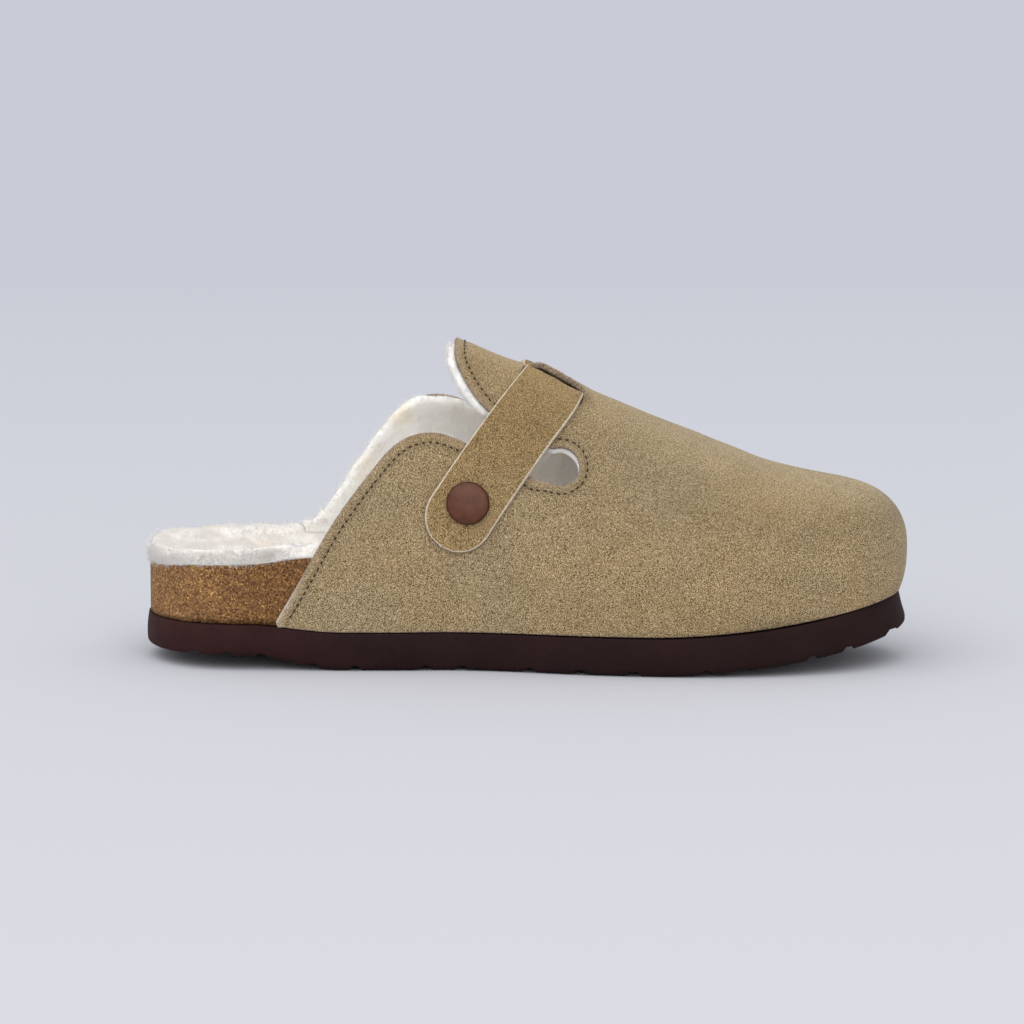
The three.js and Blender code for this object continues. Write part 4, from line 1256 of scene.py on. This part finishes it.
rings = insole_rings()
points, triangles = loft(rings)
triangles = turned_out(points, triangles)
amount = np.where(rings[..., 0] < PILE_LUMPS_FROM, PILE_LUMPS_REAR, 1.0)
amount[:, :25] = 0
points, triangles, _ = clean_mesh(ruffled(points, triangles, amount.reshape(-1)), triangles)
insole_points, insole_triangles = points, triangles
insole = make_piece("insole_pile", points, triangles, [pile])
# The second channel is painted shade, strongest where the pile faces up.
paint(insole, 0, 0.25 + 0.75 * smooth_step((vertex_normals(points, triangles)[:, 2] - 0.7) / 0.22))
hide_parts("insole")


# Footbed
def footbed_rings():
    shares = station_shares(150)
    x = level_at(shares, FOOTBED_ENDS, 0)[0]
    bottom = sole_top(share_at(x)) + CLEARANCE
    round_off_edge = 0.8

    def side_points(side, turns):
        rim = rim_share["medial" if side < 0 else "lateral"](shares) * HEEL_RIM_HEIGHT
        rows = []
        for up in np.linspace(0, 1, 9):
            z = bottom + (rim - round_off_edge - bottom) * up
            at = footbed_edge(shares, z)
            rows.append(np.stack([at[0], at[2] if side < 0 else at[3], z], -1))
        for turn in turns:
            z = rim - round_off_edge * (1 - math.sin(turn))
            at = footbed_edge(shares, z, -round_off_edge * (1 - math.cos(turn)))
            rows.append(np.stack([at[0], at[2] if side < 0 else at[3], z], -1))
        return rows

    turns = np.radians([25, 50, 75])
    across = [cup_point(shares, side) for side in np.linspace(-0.97, 0.97, 25)]
    return np.stack(side_points(-1, turns) + across + side_points(1, turns)[::-1], 1)


points, triangles = loft(footbed_rings())
triangles = turned_out(points, triangles)
crumbs = make_noise(21)
normals = vertex_normals(points, triangles)
points = points + normals * (0.12 * crumbs(points / 1.6 + 50))[:, None]
points, triangles, _ = clean_mesh(points, triangles)
footbed = make_piece("footbed_cork", points, triangles, [cork])
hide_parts("footbed")


# Outsole
def groove_height(x, y):
    """The height that the tread grooves raise the bottom to."""
    reach = BALL_WIDTH / 2 + 6
    height = np.full(x.shape, -10.0)
    for share in GROOVE_SHARES:
        middle = x_at(share) + WAVE_HEIGHT / 2 * np.cos(math.pi * WAVE_COUNT * y / reach)
        away = np.abs(x - middle)
        depth = GROOVE_DEPTH * np.clip((GROOVE_WIDTH / 2 - away) / (GROOVE_WIDTH / 4), 0, 1)
        ground = np.maximum(sole_bottom(share), 0)
        height = np.where(away < GROOVE_WIDTH / 2, ground + depth, height)
    return height


def outsole_rings():
    shares = station_shares(290)
    heel, toe = x_at(0), x_at(1) - 0.4
    lower = SOLE_EDGE_ROUND * 0.3
    # Each level: heel end, toe end, inset, height as a share of the thickness
    levels = [
        (SOLE_TOP_ENDS[0] + 0.5, SOLE_TOP_ENDS[1] - 0.5, 0.5, 1.0),
        (SOLE_TOP_ENDS[0], SOLE_TOP_ENDS[1], 0.0, 0.965),
        (heel, (SOLE_TOP_ENDS[1] + toe) / 2, -SOLE_BULGE, 0.55),
        (heel, toe, -SOLE_BULGE / 2, SOLE_EDGE_ROUND / SOLE_THICKNESS),
        (heel + lower, toe - lower, lower, lower / SOLE_THICKNESS),
        (heel + SOLE_EDGE_ROUND, toe - SOLE_EDGE_ROUND, SOLE_EDGE_ROUND, 0.0),
    ]
    sides = {"medial": [], "lateral": []}
    for heel_end, toe_end, inset, height in spline(levels, 25):
        x, _, medial, lateral = level_at(shares, (heel_end, toe_end), inset)
        bottom = sole_bottom(share_at(x))
        z = bottom + (sole_top(share_at(x)) - bottom) * max(height, 0)
        sides["medial"].append(np.stack([x, medial, z], -1))
        sides["lateral"].append(np.stack([x, lateral, z], -1))
    start, end = sides["medial"][-1], sides["lateral"][-1]
    under = [start + (end - start) * t for t in np.linspace(0, 1, 44)[1:-1]]
    rings = np.stack(sides["medial"] + under + sides["lateral"][::-1], 1)
    rings[..., 2] = np.maximum(rings[..., 2], groove_height(rings[..., 0], rings[..., 1]))
    return rings


points, triangles = loft(outsole_rings())
triangles = turned_out(points, triangles)
points, triangles, _ = clean_mesh(points, triangles)
outsole = make_piece("outsole_foam", points, triangles, [foam])
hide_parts("outsole")


# Strap
def strap_rings():
    low, high = CLEARANCE, CLEARANCE + STRAP_THICKNESS
    edge_round = 0.55
    across = [(w, edge_round, high) for w in np.linspace(1, -1, 23)]
    turns = np.radians([18, 36, 54, 72, 90])
    turned = [(edge_round * (1 - math.sin(t)), high - edge_round * (1 - math.cos(t))) for t in turns]
    turned += [(edge_round * (1 - math.sin(t)), low + edge_round * (1 - math.cos(t))) for t in turns[::-1]]
    left = [(-1, inset, rise) for inset, rise in turned]
    under = [(w, edge_round, low) for w in np.linspace(-1, 1, 9)]
    right = [(1, inset, rise) for inset, rise in turned[::-1]]
    profile = across + left + under + right
    is_edge = [False] * 23 + [True] * 10 + [False] * 9 + [True] * 10
    total = strap_run[-1]
    even = np.linspace(0, 1, 150)
    even = even * 0.75 + (1 - np.cos(math.pi * even)) / 2 * 0.25
    columns = []
    for w, inset, rise in profile:
        gone = inset + (total - 2 * inset) * even
        radius = STRAP_WIDTH / 2 - inset
        to_end = np.minimum(gone, total - gone) - inset
        half = radius * np.sqrt(np.maximum(0, 1 - np.clip(1 - to_end / radius, 0, 1) ** 2))
        angles = np.interp(gone, strap_run, strap_angles)
        to_slit = np.maximum(np.abs(on_centre(angles)[:, 1] - centre_line(STRAP_CROSSING)) - SLIT_OFFSET, 0)
        neck = STRAP_NECK * np.exp(-((to_slit / STRAP_NECK_RUN) ** 2))
        columns.append(strap_point(angles, w * half - max(w, 0) * neck, rise))
    return np.stack(columns, 1), np.array(is_edge)


rings, is_edge = strap_rings()
points, triangles = loft(rings)
count = rings.shape[1]
index = (is_edge[triangles % count].sum(1) >= 2).astype(int)
middle = points[triangles].mean(1)
# Painted shade: the strap's faces that run into the slits, under the lip, take the near-black painted-shade
# suede.
index[np.abs(middle[:, 1] - centre_line(STRAP_CROSSING)) < lip_offset(middle[:, 0]) + 0.6] = 2
points, triangles, index = clean_mesh(points, turned_out(points, triangles), index)
strap_points, strap_triangles, strap_index = points, triangles, index
strap = make_piece("strap_suede", points, triangles, [strap_suede, strap_edge, painted_shade_suede], index)
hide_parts("strap")


# Rivets
def rivet_profile():
    base = CLEARANCE + STRAP_THICKNESS + 1.6 * CLEARANCE
    washer_top = -UPPER_WALL - WASHER_SEAT
    profile = [
        (0, washer_top - WASHER_THICKNESS),
        (WASHER_RADIUS, washer_top - WASHER_THICKNESS),
        (WASHER_RADIUS, washer_top),
        (RIVET_SHANK_RADIUS, washer_top),
        (RIVET_SHANK_RADIUS, base),
        (RIVET_CAP_RADIUS - 0.35, base),
        (RIVET_CAP_RADIUS - 0.1, base + 0.12),
    ]
    for turn in np.radians(np.linspace(0, 90, 15)):
        radius = RIVET_CAP_RADIUS * math.cos(turn) ** 0.72
        profile.append((radius, base + RIVET_CAP_HEIGHT * (0.2 + 0.8 * math.sin(turn) ** 0.9)))
    profile[-1] = (0, profile[-1][1])
    return np.array(profile)


def make_rivet(side):
    angle = RIVET_ANGLE if side == "medial" else 180 - RIVET_ANGLE
    share = share_of_last(strap_centre_x(angle))
    seat, normal = last_point(share, angle), last_normal(share, angle)
    first = unit(np.cross(normal, [0.0, 0.0, 1.0]))
    second = np.cross(normal, first)
    turn = np.linspace(0, 2 * math.pi, 73)[:-1]
    ring = np.cos(turn)[:, None] * first + np.sin(turn)[:, None] * second
    profile = rivet_profile()
    rings = seat + profile[:, 0, None, None] * ring + (profile[:, 1, None] * normal)[:, None, :]
    points, triangles = loft(rings)
    points, triangles, _ = clean_mesh(points, turned_out(points, triangles))
    rivet = make_piece(f"rivet_cap_{side}", points, triangles, [rivet_finish])
    off = points - seat
    off = off - normal * (off @ normal)[:, None]
    # The channel is the share of the cap's radius, which the material uses for the painted shade at the cap's
    # rim.
    paint(rivet, np.linalg.norm(off, axis=1) / RIVET_CAP_RADIUS)
    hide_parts(f"rivet_{side}")


make_rivet("medial")
make_rivet("lateral")


# Stitches
def make_stitches():
    run = np.concatenate([[0], np.cumsum(np.linalg.norm(np.diff(stitch_line, axis=0), axis=1))])
    rng = np.random.default_rng(5)
    places = np.arange(STITCH_PITCH, run[-1] - 1, STITCH_PITCH)
    places = places + rng.uniform(-0.12, 0.12, len(places))
    centre = np.stack([np.interp(places, run, stitch_line[:, k]) for k in range(3)], 1)
    ahead = np.stack([np.interp(places + 0.5, run, stitch_line[:, k]) for k in range(3)], 1)
    normal = unit(np.stack([np.interp(places, run, stitch_normals[:, k]) for k in range(3)], 1))
    along = unit(ahead - centre)
    beside = unit(np.cross(normal, along))
    along = unit(along + beside * rng.uniform(-0.16, 0.1, len(places))[:, None])
    beside = unit(np.cross(normal, along))
    turns = np.linspace(-math.pi / 2, math.pi / 2, 7)
    sides = np.linspace(0, 2 * math.pi, 9)[:-1]
    all_points, all_triangles = [], []
    for i in range(len(places)):
        rings = []
        for t in turns:
            s, r = math.sin(t), max(math.cos(t), 0.02) ** 0.6 * STITCH_RADIUS
            middle = centre[i] + along[i] * (s * STITCH_LENGTH / 2) + normal[i] * (0.02 - 0.2 * s * s)
            ring = np.cos(sides)[:, None] * beside[i] * r + np.sin(sides)[:, None] * normal[i] * r * 0.85
            rings.append(middle + ring)
        points, triangles = loft(np.array(rings))
        all_points.append(points)
        all_triangles.append(turned_out(points, triangles) + i * len(points))
    piece = make_piece("stitches", np.concatenate(all_points), np.concatenate(all_triangles), [thread])


make_stitches()


# Pile fibres
def sampled(points, triangles, count, weigh, seed):
    """Random roots on a mesh and the normals there, more where the weight is higher."""
    rng = np.random.default_rng(seed)
    normals = vertex_normals(points, triangles)
    corners = points[triangles]
    area = np.linalg.norm(np.cross(corners[:, 1] - corners[:, 0], corners[:, 2] - corners[:, 0]), axis=1)
    weight = area * weigh(corners.mean(1), unit(normals[triangles].mean(1)))
    chosen = rng.choice(len(triangles), count, p=weight / weight.sum())
    u, v = rng.random(count), rng.random(count)
    over = u + v > 1
    u[over], v[over] = 1 - u[over], 1 - v[over]
    share = np.stack([1 - u - v, u, v], 1)[..., None]
    return (corners[chosen] * share).sum(1), unit((normals[triangles[chosen]] * share).sum(1))


def make_fibres(name, roots, normals, length, width, seed, material):
    """Short curled fibres as closed three-sided tubes with a point, joined into one mesh."""
    rng = np.random.default_rng(seed)
    count = len(roots)
    side = unit(np.cross(normals, rng.normal(size=(count, 3))))
    other = np.cross(normals, side)
    long = (length * rng.uniform(0.55, 1.25, count))[:, None]
    lean = rng.uniform(0.2, 1.0, count)[:, None]
    curl = rng.uniform(-0.5, 0.5, count)[:, None]
    rings = []
    for step, thick in ((0.0, 1.0), (0.6, 0.8), (1.0, 0.0)):
        up = normals * (step * (1 - 0.35 * lean * step))
        over = side * (lean * step**1.6) + other * (curl * math.sin(step * 3.6))
        middle = roots - normals * 0.3 + (up + over) * long
        turns = (0, 2.094, 4.189) if thick else (0,)
        rings += [middle + (side * math.cos(a) + other * math.sin(a)) * (width * thick / 2) for a in turns]
    points = np.stack(rings, 1).reshape(-1, 3)
    one = [(0, 2, 1)]
    for a, b in ((0, 1), (1, 2), (2, 0)):
        one += [(a, b, b + 3), (a, b + 3, a + 3), (a + 3, b + 3, 6)]
    triangles = (np.array(one)[None] + 7 * np.arange(count)[:, None, None]).reshape(-1, 3)
    piece = make_piece(name, points, triangles, [material])


def insole_weight(centre, normal):
    x = centre[:, 0]
    free = 1 - smooth_step((x + 88) / 14)
    rim = np.clip(3.5 * (1 - normal[:, 2]) - 0.6, 0, 1)
    return np.where(normal[:, 2] > -0.55, free * rim, 0)


def lining_weight(centre, normal):
    edge = np.exp(-np.maximum(collar_field(centre) + 1.5, 0) / 2.5)
    back = 1 - smooth_step((centre[:, 0] + 5) / 20)
    inward = np.where(centre[:, 1] > 0, -normal[:, 1], normal[:, 1])
    is_bare = centre[:, 2] > HEEL_RIM_HEIGHT + 3
    return back * is_bare * (0.03 + 2.5 * edge + 0.1 * np.clip(inward, 0, 1))


def even_weight(centre, normal):
    return np.ones(len(centre))


def rim_weight(centre, normal):
    return (sole_field(centre) > 1.5) * (1 + 4.0 * (np.abs(slit_field(centre)) < 2))


roots, normals = sampled(insole_points, insole_triangles, 7000, insole_weight, 31)
make_fibres("insole_fibres", roots, normals, 2.5, 0.1, 32, pile_fibre)
roots, normals = sampled(lining_points, lining_triangles, 13000, lining_weight, 33)
make_fibres("lining_fibres", roots, normals, 1.9, 0.1, 34, pile_fibre)
rim = upper_triangles[upper_index == 1]
roots, normals = sampled(upper_points, rim, 7000, rim_weight, 35)
make_fibres("suede_fibres", roots, normals, 0.9, 0.09, 36, suede_fibre)
roots, normals = sampled(strap_points, strap_triangles[strap_index == 1], 5000, even_weight, 37)
make_fibres("strap_fibres", roots, normals, 0.6, 0.09, 38, strap_fibre)


# Floor, lights and camera
def make_floor():
    mesh = bpy.data.meshes.new("floor")
    size = 14.0
    corners = [(-size, -size, 0), (size, -size, 0), (size, size, 0), (-size, size, 0)]
    mesh.from_pydata(corners, [], [(0, 1, 2, 3)])
    mesh.materials.append(floor_material("floor"))
    floor = bpy.data.objects.new("floor", mesh)
    bpy.context.scene.collection.objects.link(floor)


def make_sun(name, toward, strength, softness, colour=(1, 1, 1)):
    light = bpy.data.lights.new(name, "SUN")
    light.energy = strength
    light.angle = math.radians(softness)
    light.color = colour
    lamp = bpy.data.objects.new(name, light)
    lamp.rotation_euler = (-Vector(toward)).to_track_quat("-Z", "Y").to_euler()
    bpy.context.scene.collection.objects.link(lamp)


def make_camera():
    elevation, distance = math.radians(9), 1.8
    target = Vector((-0.00487, 0, 0.04965))
    data = bpy.data.cameras.new("camera")
    data.sensor_width = 36
    data.lens = 181.9
    data.clip_end = 60
    camera = bpy.data.objects.new("camera", data)
    camera.location = target + Vector((0, -distance * math.cos(elevation), distance * math.sin(elevation)))
    camera.rotation_euler = (math.pi / 2 - elevation, 0, 0)
    bpy.context.scene.collection.objects.link(camera)
    bpy.context.scene.camera = camera


make_floor()
make_sun("key", (-0.3, -0.5, 1.0), 1.1, 80)
make_sun("fill", (0.05, -1.0, 0.4), 0.85, 60)
world = bpy.data.worlds.new("studio")
world.use_nodes = True
world.node_tree.nodes["Background"].inputs[0].default_value = (0.96, 0.98, 1.0, 1)
world.node_tree.nodes["Background"].inputs[1].default_value = 0.8
bpy.context.scene.world = world
bpy.context.scene.view_settings.view_transform = "Standard"
make_camera()
